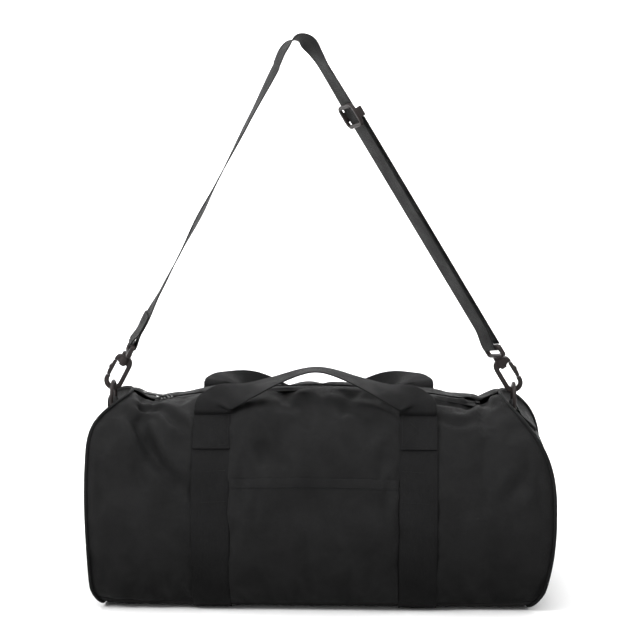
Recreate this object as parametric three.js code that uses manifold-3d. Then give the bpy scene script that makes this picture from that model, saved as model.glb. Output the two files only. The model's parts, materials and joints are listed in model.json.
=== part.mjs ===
// Duffel bag, in millimetres: +X along the bag to its right end, -Y towards its front, +Z up.
// The origin is on the floor, under the middle of the bag.
import * as THREE from "three";
import { mergeVertices } from "three/addons/utils/BufferGeometryUtils.js";
import Module from "manifold-3d";

const wasm = await Module();
wasm.setup();

// ---- Driving dimensions ----
const TOUCH = 0.35; // gap between pieces that touch on the real bag
const SEAM_GAP = 1.1; // gap where two panels meet at an angle
const CLOTH = 1.5; // polyester with its coating and seam allowance
const HALF_DEPTH = 143; // the stuffed bag's widest half depth
const WIDEST_Z = 118; // height at which it is widest
const END_NARROWER = 7; // the ends' half depth is this much less than the middle's
const FLAT_HALF = 104; // half depth of the flat base
const BASE_Z = 2.15; // underside of the base cloth: the webbing below it stands on the floor
const BASE_RISE = 5; // how far the base lifts at the end seams
const BOARD_HALF = 255; // half length of the board in the base
const END_TOP_Z = 266; // top of an end panel, which the ring pulls up
const MOUTH_X = 218; // half length of the zip

// The load fills the two ends differently. half is the bag's reach to the end seam, ear the
// reach along its top, widestZ the height where the seam stands furthest out, power how late
// it leans in above that, tuck how far it draws in at the floor, bulge how far the panel domes
// out, and ringX the ring's plane.
const ENDS = {
  left: {
    name: "left",
    sign: -1,
    half: 297,
    ear: 249,
    widestZ: 190,
    power: 4.5,
    tuck: 6,
    bulge: 14,
    ringX: 276,
  },
  right: {
    name: "right",
    sign: 1,
    half: 311.5,
    ear: 245,
    widestZ: 120,
    power: 3.4,
    tuck: 20,
    bulge: 8,
    ringX: 265,
  },
};
const endOf = (x) => (x < 0 ? ENDS.left : ENDS.right);

const ZIP_TOP_Z = 275; // the zip's highest point
const ZIP_RADIUS = 1120; // the zip arches over the load along this circle
const ZIP_CENTRE_Z = ZIP_TOP_Z - ZIP_RADIUS;

const BAND_X = 135; // middle to the middle of a carry band
const BAND_WIDTH = 50;
const WEBBING = 1.8;
const HANDLE_Z = 249; // where a handle leaves its bands
const HANDLE_LIFT = 8; // a handle's pivot line stands this far off the cloth
const POCKET_TOP_Z = 186;
const POCKET_HEM = 16;
const POCKET_CLOTH = 1.2;
const HEM_CLOTH = 1;

// Along an end seam: the piped cord outside it, the binding tape over its edge inside.
const PIPING = { lift: 2.2, out: 0.6, radius: 1.7 };
const BINDING = { inset: 5.5, in: 2.2, radius: 1.6 };
const BOARD = { thick: 3, narrower: 14, corner: 24 };

const STRAP_WIDTH = 38;
const STRAP_CLOTH = 1.6;
const RING_AXIS_Z = 257; // centre of a ring's bow: the strap swings about this line
const RING_BOW = 22; // radius of the bow's own centre line
const RING_WIRE = 2.4; // half thickness of a ring
const RING_DROP = 7; // bow centre down to the straight bar
const STRAP_KNEE_Z = 703; // up to here each side of the strap is straight
const LEFT_KNEE_X = -54;
const RIGHT_KNEE_X = 9;
const ADJUSTER_Z = 640;

const COLOURS = {
  cloth: 0x1b1b1b,
  lining: 0x202020,
  webbing: 0x161616,
  plastic: 0x1d1b1b,
  board: 0x2b2b2b,
  enamel: 0x191919,
  metal: 0x6b6b6b,
};
const MATERIALS = {
  cloth: new THREE.MeshStandardMaterial({ color: COLOURS.cloth, roughness: 0.85 }),
  lining: new THREE.MeshStandardMaterial({ color: COLOURS.lining, roughness: 0.9 }),
  webbing: new THREE.MeshStandardMaterial({ color: COLOURS.webbing, roughness: 0.8 }),
  plastic: new THREE.MeshStandardMaterial({ color: COLOURS.plastic, roughness: 0.42 }),
  board: new THREE.MeshStandardMaterial({ color: COLOURS.board, roughness: 0.7 }),
  enamel: new THREE.MeshStandardMaterial({ color: COLOURS.enamel, roughness: 0.4, metalness: 0.4 }),
  metal: new THREE.MeshStandardMaterial({ color: COLOURS.metal, roughness: 0.35, metalness: 1 }),
};

const bag = new THREE.Group();

function addMesh(name, geometry, material, parent = bag) {
  const mesh = new THREE.Mesh(geometry, MATERIALS[material]);
  mesh.name = name;
  parent.add(mesh);
  return mesh;
}

// ---- Geometry helpers ----
const vec = (x, y, z) => new THREE.Vector3(x, y, z);
const smooth = (t) => THREE.MathUtils.smoothstep(t, 0, 1);

function steps(from, to, count) {
  return Array.from({ length: count + 1 }, (_, i) => from + ((to - from) * i) / count);
}

function meshFrom(points, faces) {
  const geometry = new THREE.BufferGeometry();
  const positions = points.flatMap((p) => [p.x, p.y, p.z]);
  geometry.setAttribute("position", new THREE.Float32BufferAttribute(positions, 3));
  geometry.setIndex(faces.flat());
  geometry.computeVertexNormals();
  return geometry;
}

// Unit normals of a grid of points, on the side that rows x columns points to.
function gridNormals(grid) {
  const last = grid.length - 1;
  return grid.map((row, i) =>
    row.map((_, j) => {
      const end = row.length - 1;
      const along = grid[Math.min(i + 1, last)][j].clone().sub(grid[Math.max(i - 1, 0)][j]);
      const across = row[Math.min(j + 1, end)].clone().sub(row[Math.max(j - 1, 0)]);
      return along.cross(across).normalize();
    }),
  );
}

// A closed sheet: its outer face is the grid, and it is thick on the inner side.
function sheet(grid, thick) {
  const normals = gridNormals(grid);
  const columns = grid[0].length;
  const inner = grid.map((row, i) =>
    row.map((p, j) => p.clone().addScaledVector(normals[i][j], -thick)),
  );
  const points = [...grid.flat(), ...inner.flat()];
  const below = grid.length * columns;
  const at = (i, j) => i * columns + j;
  const faces = [];
  const wall = (a, b) => faces.push([a, b, b + below], [a, b + below, a + below]);
  for (let i = 0; i + 1 < grid.length; i++) {
    for (let j = 0; j + 1 < columns; j++) {
      const [a, b, c, d] = [at(i, j), at(i + 1, j), at(i + 1, j + 1), at(i, j + 1)];
      faces.push([a, b, c], [a, c, d]);
      faces.push([a + below, c + below, b + below], [a + below, d + below, c + below]);
    }
    wall(at(i + 1, 0), at(i, 0));
    wall(at(i, columns - 1), at(i + 1, columns - 1));
  }
  for (let j = 0; j + 1 < columns; j++) {
    wall(at(0, j), at(0, j + 1));
    wall(at(grid.length - 1, j + 1), at(grid.length - 1, j));
  }
  return meshFrom(points, faces);
}

// Webbing along a path: stations hold {at, across}, and across points to the edge that
// keeps the outer face outwards.
function ribbon(stations, width, thick) {
  const grid = stations.map(({ at, across }) =>
    [-0.5, 0, 0.5].map((share) => at.clone().addScaledVector(across, share * width)),
  );
  const normals = gridNormals(grid);
  const outer = grid.map((row, i) =>
    row.map((p, j) => p.clone().addScaledVector(normals[i][j], thick / 2)),
  );
  return sheet(outer, thick);
}

// A round bar along a closed loop of points.
function closedTube(loop, radius, sides) {
  const count = loop.length;
  const centre = loop.reduce((sum, p) => sum.add(p), vec(0, 0, 0)).divideScalar(count);
  const points = loop.flatMap((p, i) => {
    const along = loop[(i + 1) % count].clone().sub(loop[(i + count - 1) % count]).normalize();
    const out = p.clone().sub(centre);
    out.addScaledVector(along, -out.dot(along)).normalize();
    const side = along.clone().cross(out);
    return steps(0, 2 * Math.PI, sides)
      .slice(0, sides)
      .map((turn) =>
        p
          .clone()
          .addScaledVector(out, radius * Math.cos(turn))
          .addScaledVector(side, radius * Math.sin(turn)),
      );
  });
  const faces = [];
  for (let i = 0; i < count; i++) {
    for (let k = 0; k < sides; k++) {
      const [a, b] = [i * sides + k, i * sides + ((k + 1) % sides)];
      const [c, d] = [((i + 1) % count) * sides + k, ((i + 1) % count) * sides + ((k + 1) % sides)];
      faces.push([a, d, c], [a, b, d]);
    }
  }
  return meshFrom(points, faces);
}

function solid(geometry) {
  const bare = geometry.index ? geometry.toNonIndexed() : geometry.clone();
  bare.deleteAttribute("normal");
  bare.deleteAttribute("uv");
  const merged = mergeVertices(bare, 1e-4);
  return new wasm.Manifold(
    new wasm.Mesh({
      numProp: 3,
      vertProperties: merged.attributes.position.array,
      triVerts: new Uint32Array(merged.index.array),
    }),
  );
}

function geometryOf(made) {
  const mesh = made.getMesh();
  const geometry = new THREE.BufferGeometry();
  geometry.setAttribute("position", new THREE.BufferAttribute(mesh.vertProperties, 3));
  geometry.setIndex(new THREE.BufferAttribute(mesh.triVerts, 1));
  geometry.computeVertexNormals();
  return geometry;
}

function boxAt(width, depth, height, x, y, z) {
  return new THREE.BoxGeometry(width, depth, height).translate(x, y, z);
}

// An outline in (across, up) extruded through its thickness, with rounded rims.
// The thickness lies along Y, and the outline's x and y become X and Z.
function plate(shape, thick, bevel = 0.8, curveSegments = 8) {
  const geometry = new THREE.ExtrudeGeometry(shape, {
    depth: thick - 2 * bevel,
    bevelThickness: bevel,
    bevelSize: bevel,
    bevelOffset: -bevel,
    bevelSegments: 1,
    curveSegments,
  });
  return geometry.translate(0, 0, bevel - thick / 2).rotateX(Math.PI / 2);
}

// Points of an arc about (x, y), with the angles in quarter turns.
function arc(x, y, radius, from, to, count) {
  return steps(from, to, count).map((quarters) => {
    const turn = (quarters * Math.PI) / 2;
    return new THREE.Vector2(x + radius * Math.cos(turn), y + radius * Math.sin(turn));
  });
}

function roundedRectangle(width, height, radius, y = 0, x = 0) {
  const [right, up] = [width / 2 - radius, height / 2 - radius];
  return [
    ...arc(x + right, y - up, radius, -1, 0, 3),
    ...arc(x + right, y + up, radius, 0, 1, 3),
    ...arc(x - right, y + up, radius, 1, 2, 3),
    ...arc(x - right, y - up, radius, 2, 3, 3),
  ];
}

function shapeOf(points, holes = []) {
  const shape = new THREE.Shape(points);
  shape.holes.push(...holes.map((hole) => new THREE.Path(hole)));
  return shape;
}

// ---- The bag's skin ----
const zipZ = (x) => ZIP_CENTRE_Z + Math.sqrt(ZIP_RADIUS ** 2 - x * x);

// Height of the bag's top: along the zip it follows the arch, and it rises to the end panels.
function topZ(x) {
  const { ear } = endOf(x);
  const past = smooth((Math.abs(x) - MOUTH_X) / (ear - MOUTH_X));
  return THREE.MathUtils.lerp(zipZ(Math.min(Math.abs(x), ear)), END_TOP_Z, past);
}

// How far out an end seam stands at a height: the ends lean in towards the top.
function endX({ half, ear, widestZ, power, tuck }, z) {
  if (z < widestZ) return half - tuck * ((widestZ - z) / widestZ) ** 2;
  return half - (half - ear) * ((z - widestZ) / (END_TOP_Z - widestZ)) ** power;
}

// Half of the bag's outline in a plane across it, from the middle of the base round the side
// to the zip, as (distance from the middle, height).
function halfOutline(x) {
  const reach = endOf(x).half;
  const half = HALF_DEPTH - END_NARROWER * (x / reach) ** 2;
  const top = topZ(x);
  const base = BASE_Z + BASE_RISE * smooth((Math.abs(x) - BOARD_HALF) / (reach - BOARD_HALF));
  const path = new THREE.Path();
  path.moveTo(0, base);
  path.lineTo(FLAT_HALF, base);
  path.bezierCurveTo(half - 6, base, half, 0.35 * WIDEST_Z, half, WIDEST_Z);
  path.bezierCurveTo(half, 0.62 * top + 30, 0.66 * half, top, 0, top);
  return path;
}

// Share of the outline's length at which it reaches a height.
function shareAt(z, x = BAND_X) {
  const path = halfOutline(x);
  let [low, high] = [0.2, 1];
  for (let i = 0; i < 40; i++) {
    const middle = (low + high) / 2;
    if (path.getPointAt(middle).y < z) low = middle;
    else high = middle;
  }
  return low;
}

// A point of the skin. side is -1 for the front and 1 for the back, and lift is off the cloth.
function skin(side, x, share, lift = 0) {
  const path = halfOutline(x);
  const at = path.getPointAt(Math.min(share, 1));
  const tangent = path.getTangentAt(Math.min(share, 1));
  return vec(x, side * (at.x + lift * tangent.y), at.y - lift * tangent.x);
}

// Lines along the bag: fixed places in the middle, and even shares out to the leaning ends.
const BAND_IN = BAND_X - BAND_WIDTH / 2;
const BAND_OUT = BAND_X + BAND_WIDTH / 2;
const MIDDLE_LINES = [-BAND_OUT, -BAND_X, -BAND_IN, -73, -37, 0, 37, 73, BAND_IN, BAND_X, BAND_OUT];
const OUTER_SHARES = [0.25, 0.5, 0.72, 0.88, 1];

// Where an end seam crosses a line along the bag.
const seamX = (end, share) => endX(end, halfOutline(end.sign * end.ear).getPointAt(share).y);

function lengthLines(share) {
  const outer = (end) =>
    OUTER_SHARES.map((q) => end.sign * (BAND_OUT + q * (seamX(end, share) - BAND_OUT)));
  return [...outer(ENDS.left).reverse(), ...MIDDLE_LINES, ...outer(ENDS.right)];
}

const BASE_SHARE = shareAt(14, 0);
const HALF_GIRTH = halfOutline(0).getLength();
const FLAT_SHARE = FLAT_HALF / HALF_GIRTH;
const UNDER_SHARES = [0, FLAT_SHARE / 2, FLAT_SHARE, (FLAT_SHARE + BASE_SHARE) / 2];
const POCKET_SHARE = shareAt(POCKET_TOP_Z, 0);
const HEM_SHARE = shareAt(POCKET_TOP_Z - POCKET_HEM, 0);
const HANDLE_SHARE = shareAt(HANDLE_Z);
const MOUTH_EDGE = 8; // the cloth's folded edge is this far from the zip's middle
const MOUTH_SHARE = 1 - MOUTH_EDGE / HALF_GIRTH;
const SIDE_SHARES = [
  ...steps(BASE_SHARE, HEM_SHARE, 6),
  ...steps(POCKET_SHARE, HANDLE_SHARE, 3),
  ...steps(HANDLE_SHARE, MOUTH_SHARE, 4).slice(1),
];

// Rows of the skin between two shares, one row for each share, on one side of the bag.
function skinGrid(side, shares, linesAt, lift) {
  const rows = shares.map((share) => linesAt(share).map((x) => skin(side, x, share, lift)));
  return side < 0 ? rows.map((row) => row.reverse()) : rows;
}

function addPanels() {
  for (const [side, name] of [
    [-1, "front"],
    [1, "back"],
  ]) {
    const grid = skinGrid(side, SIDE_SHARES, lengthLines, 0);
    addMesh(`${name}_panel`, sheet(grid, CLOTH), "cloth");
  }
  const shares = [...UNDER_SHARES, BASE_SHARE - SEAM_GAP / HALF_GIRTH];
  const front = shares.map((share) => lengthLines(share).map((x) => skin(-1, x, share))).reverse();
  const back = shares.map((share) => lengthLines(share).map((x) => skin(1, x, share))).slice(1);
  addMesh("base_panel", sheet([...front, ...back], CLOTH), "cloth");
}

// The seam where an end panel meets the long panels, as a closed loop. inset shrinks it.
function endLoop(end, inset, out = 0) {
  const shares = [...UNDER_SHARES, ...SIDE_SHARES, 1];
  const half = (side) =>
    shares.map((share) => {
      const x = seamX(end, share);
      const at = skin(side, end.sign * x, share, -inset);
      at.x = end.sign * (x + out);
      return at;
    });
  return [...half(-1), ...half(1).slice(1, -1).reverse()];
}

const END_MIDDLE_Z = (END_TOP_Z + BASE_Z) / 2;

// A point of an end panel: share is 1 at the point p of its rim and 0 in its middle.
function domePoint(end, p, share, drop = 0) {
  const at = vec(0, p.y * share, END_MIDDLE_Z + (p.z - END_MIDDLE_Z) * share);
  const lean = THREE.MathUtils.lerp(endX(end, at.z), Math.abs(p.x), share ** 4);
  at.x = end.sign * (lean + end.bulge * (1 - share * share) ** 1.6 - drop);
  return at;
}

// An end panel: a domed sheet inside the seam.
function endPanel(end) {
  const rim = endLoop(end, 0.2, SEAM_GAP + CLOTH);
  const rings = [1, 0.86, 0.66, 0.4];
  const layer = (drop) => {
    const points = rings.flatMap((share) => rim.map((p) => domePoint(end, p, share, drop)));
    points.push(domePoint(end, vec(0, 0, END_MIDDLE_Z), 0, drop));
    return points;
  };
  const points = [...layer(0), ...layer(CLOTH)];
  const [count, below] = [rim.length, points.length / 2];
  const faces = [];
  const right = end.sign > 0;
  const add = (a, b, c) => {
    faces.push(right ? [a, b, c] : [a, c, b]);
    faces.push(right ? [a + below, c + below, b + below] : [a + below, b + below, c + below]);
  };
  for (let k = 0; k < count; k++) {
    const next = (k + 1) % count;
    for (let ring = 0; ring + 1 < rings.length; ring++) {
      const [a, b] = [ring * count + k, ring * count + next];
      const [c, d] = [(ring + 1) * count + next, (ring + 1) * count + k];
      add(a, c, b);
      add(a, d, c);
    }
    add((rings.length - 1) * count + k, below - 1, (rings.length - 1) * count + next);
    const wall = [
      [k, next, next + below],
      [k, next + below, k + below],
    ];
    faces.push(...wall.map(([a, b, c]) => (right ? [a, b, c] : [a, c, b])));
  }
  return meshFrom(points, faces);
}

function addEnds() {
  for (const end of Object.values(ENDS)) {
    addMesh(`${end.name}_end_panel`, endPanel(end), "cloth");
    const piping = closedTube(endLoop(end, -PIPING.lift, PIPING.out), PIPING.radius, 6);
    addMesh(`${end.name}_piping`, piping, "cloth");
    const binding = closedTube(endLoop(end, BINDING.inset, -BINDING.in), BINDING.radius, 5);
    addMesh(`${end.name}_seam_binding`, binding, "lining");
  }
}

function addBaseBoard() {
  const { thick, narrower, corner } = BOARD;
  const board = shapeOf(roundedRectangle(2 * BOARD_HALF, 2 * FLAT_HALF - narrower, corner));
  const z = BASE_Z + CLOTH + TOUCH + thick / 2;
  const geometry = plate(board, thick, 0.5, 4).rotateX(Math.PI / 2).translate(0, 0, z);
  addMesh("base_board", geometry, "board");
}

function addPocket() {
  const lines = () => [-BAND_IN + TOUCH, -73, -37, 0, 37, 73, BAND_IN - TOUCH];
  const shares = SIDE_SHARES.filter((share) => share <= POCKET_SHARE + 1e-9);
  const lift = TOUCH + POCKET_CLOTH;
  const pocket = sheet(skinGrid(-1, shares, lines, lift), POCKET_CLOTH);
  addMesh("front_pocket_panel", pocket, "cloth");
  const hem = [HEM_SHARE, POCKET_SHARE];
  const fold = sheet(skinGrid(-1, hem, lines, lift + TOUCH + HEM_CLOTH), HEM_CLOTH);
  addMesh("front_pocket_hem", fold, "cloth");
}

// ---- Carry webbing ----
function addBands() {
  const lift = TOUCH + WEBBING;
  const shares = SIDE_SHARES.filter((share) => share <= HANDLE_SHARE + 1e-9);
  for (const [end, endName] of [
    [-1, "left"],
    [1, "right"],
  ]) {
    const lines = () => (end < 0 ? [-BAND_OUT, -BAND_X, -BAND_IN] : [BAND_IN, BAND_X, BAND_OUT]);
    for (const [side, sideName] of [
      [-1, "front"],
      [1, "back"],
    ]) {
      const grid = skinGrid(side, shares, lines, lift);
      addMesh(`${sideName}_${endName}_band`, sheet(grid, WEBBING), "webbing");
    }
    const under = [...UNDER_SHARES, BASE_SHARE - (1.5 * SEAM_GAP) / HALF_GIRTH];
    const front = under.map((share) => lines().map((x) => skin(-1, x, share, lift))).reverse();
    const back = under.map((share) => lines().map((x) => skin(1, x, share, lift))).slice(1);
    addMesh(`base_${endName}_band`, sheet([...front, ...back], WEBBING), "webbing");
  }
}

// Stations of a handle from control points {at, across}, mirrored about the bag's middle.
function handleStations(controls, count) {
  const mirrored = controls
    .slice(0, -1)
    .reverse()
    .map(({ at, across }) => ({
      at: vec(-at.x, at.y, at.z),
      across: vec(-across.x, across.y, across.z),
    }));
  const all = [...controls, ...mirrored];
  const path = new THREE.CatmullRomCurve3(all.map((c) => c.at), false, "centripetal");
  const edges = new THREE.CatmullRomCurve3(all.map((c) => c.across), false, "catmullrom", 0.3);
  return steps(0, 1, count).map((t) => {
    const tangent = path.getTangent(t);
    const across = edges.getPoint(t);
    across.addScaledVector(tangent, -across.dot(tangent)).normalize();
    return { at: path.getPoint(t), across };
  });
}

// The line that a handle turns about, on the outside of the bands' top ends.
const handlePivot = (side) => skin(side, BAND_X, HANDLE_SHARE, HANDLE_LIFT);

function addHandles() {
  const front = handlePivot(-1);
  const frontControls = [
    { at: vec(-BAND_X, front.y, front.z + 1.5), across: vec(1, 0, 0) },
    { at: vec(-BAND_X + 2, front.y + 6, front.z + 11), across: vec(1, -0.1, 0) },
    { at: vec(-BAND_X + 16, front.y + 16, front.z + 17), across: vec(0.75, -0.6, -0.4) },
    { at: vec(-90, front.y + 27, front.z + 23), across: vec(0.35, -0.9, -0.25) },
    { at: vec(-55, front.y + 38, front.z + 34), across: vec(0.12, -1, -0.12) },
    { at: vec(-22, front.y + 46, front.z + 44), across: vec(0.04, -1, -0.1) },
    { at: vec(0, front.y + 48, front.z + 47), across: vec(0, -1, -0.1) },
  ];
  const frontStations = handleStations(frontControls, 40);
  addMesh("front_handle", ribbon(frontStations, BAND_WIDTH, WEBBING), "webbing");

  // The back handle has fallen back: places are a distance and an angle from its pivot line.
  const back = handlePivot(1);
  const out = (x, radius, degrees) => {
    const turn = THREE.MathUtils.degToRad(degrees);
    return vec(x, back.y + radius * Math.cos(turn), back.z + radius * Math.sin(turn));
  };
  const backControls = [
    { at: out(-BAND_X, 1, 40), across: vec(1, 0, 0) },
    { at: out(-BAND_X + 1, 9, 38), across: vec(1, 0, 0) },
    { at: out(-BAND_X + 14, 22.5, 24), across: vec(0.8, -0.4, -0.32) },
    { at: out(-93, 42.5, -9), across: vec(0.35, -0.2, -0.92) },
    { at: out(-56, 62, -31), across: vec(0.1, 0.02, -1) },
    { at: out(-22, 71, -37), across: vec(0.03, 0.08, -1) },
    { at: out(0, 73, -38.5), across: vec(0, 0.08, -1) },
  ];
  const backStations = handleStations(backControls, 40);
  addMesh("back_handle", ribbon(backStations, BAND_WIDTH, WEBBING), "webbing");
}

// ---- Zip ----
const TAPE_DROP = CLOTH + 0.6; // the tape's upper face under the cloth's outer face
const TAPE = 0.8;
const COIL_IN = 0.7;
const COIL_OUT = 3.1;
const COIL_HALF = 1.3;
const TAPE_OUT = 19;
const GUSSET_DROP = 5; // the patch past the zip's end is this far under the bag's top
const SLIDER_X = -203; // the closed slider, against its end tab

function addZip() {
  const along = steps(-MOUTH_X + 3, MOUTH_X - 3, 20);
  for (const [side, name] of [
    [-1, "front"],
    [1, "back"],
  ]) {
    const strip = (near, far, lift) =>
      along.map((x) =>
        [near, (near + far) / 2, far].map((y) => {
          const fall = 0.0028 * y * y;
          return vec(x, side * y, zipZ(x) - fall + lift);
        }),
      );
    const facing = (grid) => (side < 0 ? grid.map((row) => row.reverse()) : grid);
    const tape = facing(strip(COIL_OUT + 0.3, TAPE_OUT, -TAPE_DROP));
    addMesh(`${name}_zip_tape`, sheet(tape, TAPE), "webbing");
    const middle = -TAPE_DROP - TAPE / 2;
    const coil = facing(strip(COIL_IN, COIL_OUT, middle + COIL_HALF));
    addMesh(`${name}_zip_coil`, sheet(coil, 2 * COIL_HALF), "plastic");
  }
  for (const { name, sign, ear } of Object.values(ENDS)) {
    const tab = plate(shapeOf(roundedRectangle(5, 12, 1.2)), 1.4, 0.3).rotateX(Math.PI / 2);
    const x = sign * (MOUTH_X - 1);
    const mesh = addMesh(`${name}_zip_end_tab`, tab, "webbing");
    mesh.position.set(x, 0, zipZ(x) - TAPE_DROP + COIL_HALF + 1);
    mesh.rotation.y = Math.asin(x / ZIP_RADIUS);

    const rows = steps(MOUTH_X - 2.5, ear - 5, 4).map((far) =>
      [-TAPE_OUT, 0, TAPE_OUT].map((y) => {
        const x = sign * far;
        return vec(x, sign * y, topZ(x) - GUSSET_DROP);
      }),
    );
    addMesh(`${name}_zip_gusset`, sheet(rows, CLOTH), "cloth");
  }
}

// The slider, in its own frame: X along the zip, Z off it, origin on the zip's middle line.
const SLIDER_HALF = 6.3;
const SLIDER_LONG = 16;
const PULL_PIN_Z = 6.1;
const PULL_TILT = 20; // the pull lies back on the patch past the zip's end

function sliderGeometry() {
  const gap = COIL_HALF + 0.35;
  const plateThick = 1.5;
  const flange = SLIDER_HALF - 1.3 / 2;
  const tapeGap = TAPE / 2 + 0.35;
  let made = solid(boxAt(SLIDER_LONG, 2 * SLIDER_HALF, plateThick, 0, 0, gap + plateThick / 2));
  made = made.add(solid(boxAt(SLIDER_LONG, 2 * SLIDER_HALF, plateThick, 0, 0, -gap - plateThick / 2)));
  for (const side of [-1, 1]) {
    for (const face of [-1, 1]) {
      const high = gap + 0.2 - tapeGap;
      const z = face * (tapeGap + high / 2);
      made = made.add(solid(boxAt(SLIDER_LONG - 3, 1.3, high, 0, side * flange, z)));
    }
  }
  made = made.add(solid(boxAt(4, 0.8, 2 * gap + 1, 5, 0, 0)));
  const bridge = new THREE.Shape();
  const top = gap + plateThick;
  bridge.moveTo(-6, top - 0.4);
  bridge.lineTo(-6, top + 1.8);
  bridge.quadraticCurveTo(-5.6, top + 4.4, -2.6, top + 4.4);
  bridge.lineTo(2.6, top + 4.4);
  bridge.quadraticCurveTo(5.6, top + 4.4, 6, top + 1.8);
  bridge.lineTo(6, top - 0.4);
  const under = new THREE.Path();
  under.moveTo(-4.4, top + 0.5);
  under.lineTo(4.4, top + 0.5);
  under.quadraticCurveTo(4.2, top + 3, 2, top + 3);
  under.lineTo(-2, top + 3);
  under.quadraticCurveTo(-4.2, top + 3, -4.4, top + 0.5);
  bridge.holes.push(under);
  made = made.add(solid(plate(bridge, 2.6, 0.3, 4)));
  const seenFromAbove = shapeOf(roundedRectangle(SLIDER_LONG, 2 * SLIDER_HALF, 3.2));
  const corners = plate(seenFromAbove, 30, 0.01).rotateX(Math.PI / 2);
  return geometryOf(made.intersect(solid(corners)));
}

function pullGeometry() {
  const shape = new THREE.Shape();
  shape.moveTo(-1.1, -3.6);
  shape.lineTo(24, -4.6);
  shape.absarc(27, 0, 5.5, -Math.PI / 2.4, Math.PI / 2.4);
  shape.lineTo(24, 4.6);
  shape.lineTo(-1.1, 3.6);
  shape.quadraticCurveTo(-1.3, 0, -1.1, -3.6);
  const window = new THREE.Path();
  window.moveTo(0.9, -1.9);
  window.lineTo(7.4, -1.9);
  window.lineTo(7.4, 1.9);
  window.lineTo(0.9, 1.9);
  shape.holes.push(window, new THREE.Path(roundedRectangle(9, 3.4, 1.6, 0, 24)));
  return plate(shape, 1.7, 0.3, 6).rotateX(-Math.PI / 2);
}

function addSlider() {
  const carriage = new THREE.Group();
  carriage.position.set(SLIDER_X, 0, zipZ(SLIDER_X) - TAPE_DROP - TAPE / 2);
  carriage.rotation.y = Math.asin(SLIDER_X / ZIP_RADIUS);
  bag.add(carriage);
  addMesh("zip_slider", sliderGeometry(), "enamel", carriage);
  const pull = addMesh("zip_pull", pullGeometry(), "enamel", carriage);
  pull.position.set(0, 0, PULL_PIN_Z - 1.15);
  pull.rotation.set(0, THREE.MathUtils.degToRad(-PULL_TILT), Math.PI, "ZYX");
}

// ---- Shoulder strap ----
// A snap hook in its own frame: the strap pulls along +Z, its flat side lies in XZ, and the
// origin is the centre of its bow.
const HOOK_THICK = 8;
const BOW_IN = 7;
const BOW_OUT = 13.2;
const GATE_PIVOT = { x: 10, z: 24.6 };
const HOOK_TOP = 37;
const WIRE_IN_BOW = -2.2; // centre of the ring's wire, below the bow's centre
const EYE_BAR = 56.6; // middle of the bar that the webbing loops round
const EYE_THICK = 6;

function hookGeometry() {
  const shape = new THREE.Shape();
  shape.moveTo(BOW_IN, 3.4);
  shape.lineTo(BOW_IN, 0);
  shape.absarc(0, 0, BOW_IN, 0, Math.PI, true);
  shape.lineTo(-BOW_IN, 23);
  shape.quadraticCurveTo(-BOW_IN, 26.5, -4, 26.5);
  shape.lineTo(7.4, 26.5);
  shape.lineTo(7.4, 27.6);
  shape.lineTo(12.6, 27.6);
  shape.quadraticCurveTo(12.4, HOOK_TOP, 5.6, HOOK_TOP);
  shape.lineTo(-5.6, HOOK_TOP);
  shape.quadraticCurveTo(-BOW_OUT, HOOK_TOP - 2, -BOW_OUT, 24);
  shape.lineTo(-BOW_OUT, 0);
  shape.absarc(0, 0, BOW_OUT, Math.PI, 2 * Math.PI, false);
  shape.lineTo(BOW_OUT, 1.4);
  shape.quadraticCurveTo(12.4, 4.4, BOW_IN, 3.4);
  const body = solid(plate(shape, HOOK_THICK, 1.1, 7));
  const collar = new THREE.CylinderGeometry(7, 7.6, 11, 18).rotateX(Math.PI / 2);
  const bore = new THREE.CylinderGeometry(3.6, 3.6, 20, 18).rotateX(Math.PI / 2);
  const made = body.add(solid(collar.translate(0, 0, HOOK_TOP - 5)));
  return geometryOf(made.subtract(solid(bore.translate(0, 0, HOOK_TOP - 4))));
}

function gateGeometry() {
  const shape = new THREE.Shape();
  const { x, z } = GATE_PIVOT;
  shape.moveTo(8, 4.4);
  shape.lineTo(12.6, 4.4);
  shape.quadraticCurveTo(14.2, 9, 13.4, 13);
  shape.quadraticCurveTo(16.2, 16, 12.9, 19.5);
  shape.lineTo(12.7, z);
  shape.absarc(x, z, 2.4, 0, Math.PI, false);
  shape.lineTo(8, 4.4);
  return plate(shape, HOOK_THICK - 1.4, 0.6, 6);
}

// The leaf that pushes the gate shut: it stands off the shank's root and bears on the gate.
function springGeometry() {
  const middle = new THREE.QuadraticBezierCurve(
    new THREE.Vector2(-5.9, 18.5),
    new THREE.Vector2(2.5, 21.8),
    new THREE.Vector2(6.9, 14.2),
  );
  const count = 8;
  const edge = (offset) =>
    steps(0, 1, count).map((t) => {
      const [at, tangent] = [middle.getPoint(t), middle.getTangent(t)];
      return new THREE.Vector2(at.x - offset * tangent.y, at.y + offset * tangent.x);
    });
  const shape = new THREE.Shape([...edge(-0.35), ...edge(0.35).reverse()]);
  return plate(shape, 4, 0.15, 4);
}

function eyeGeometry() {
  const slot = roundedRectangle(STRAP_WIDTH + 2.4, 9, 2, 49.4);
  const frame = shapeOf(roundedRectangle(49, 18.5, 5, 50), [slot]);
  const collar = new THREE.CylinderGeometry(6.6, 6.6, 4, 18).rotateX(Math.PI / 2);
  const post = new THREE.CylinderGeometry(3.15, 3.15, 18, 14).rotateX(Math.PI / 2);
  const head = new THREE.CylinderGeometry(4.6, 4.2, 2.2, 14).rotateX(Math.PI / 2);
  let made = solid(plate(frame, EYE_THICK, 1, 5));
  made = made.add(solid(collar.translate(0, 0, HOOK_TOP + 1.1 + 2)));
  made = made.add(solid(post.translate(0, 0, HOOK_TOP - 4.4)));
  made = made.add(solid(head.translate(0, 0, 24.4)));
  return geometryOf(made);
}

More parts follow.
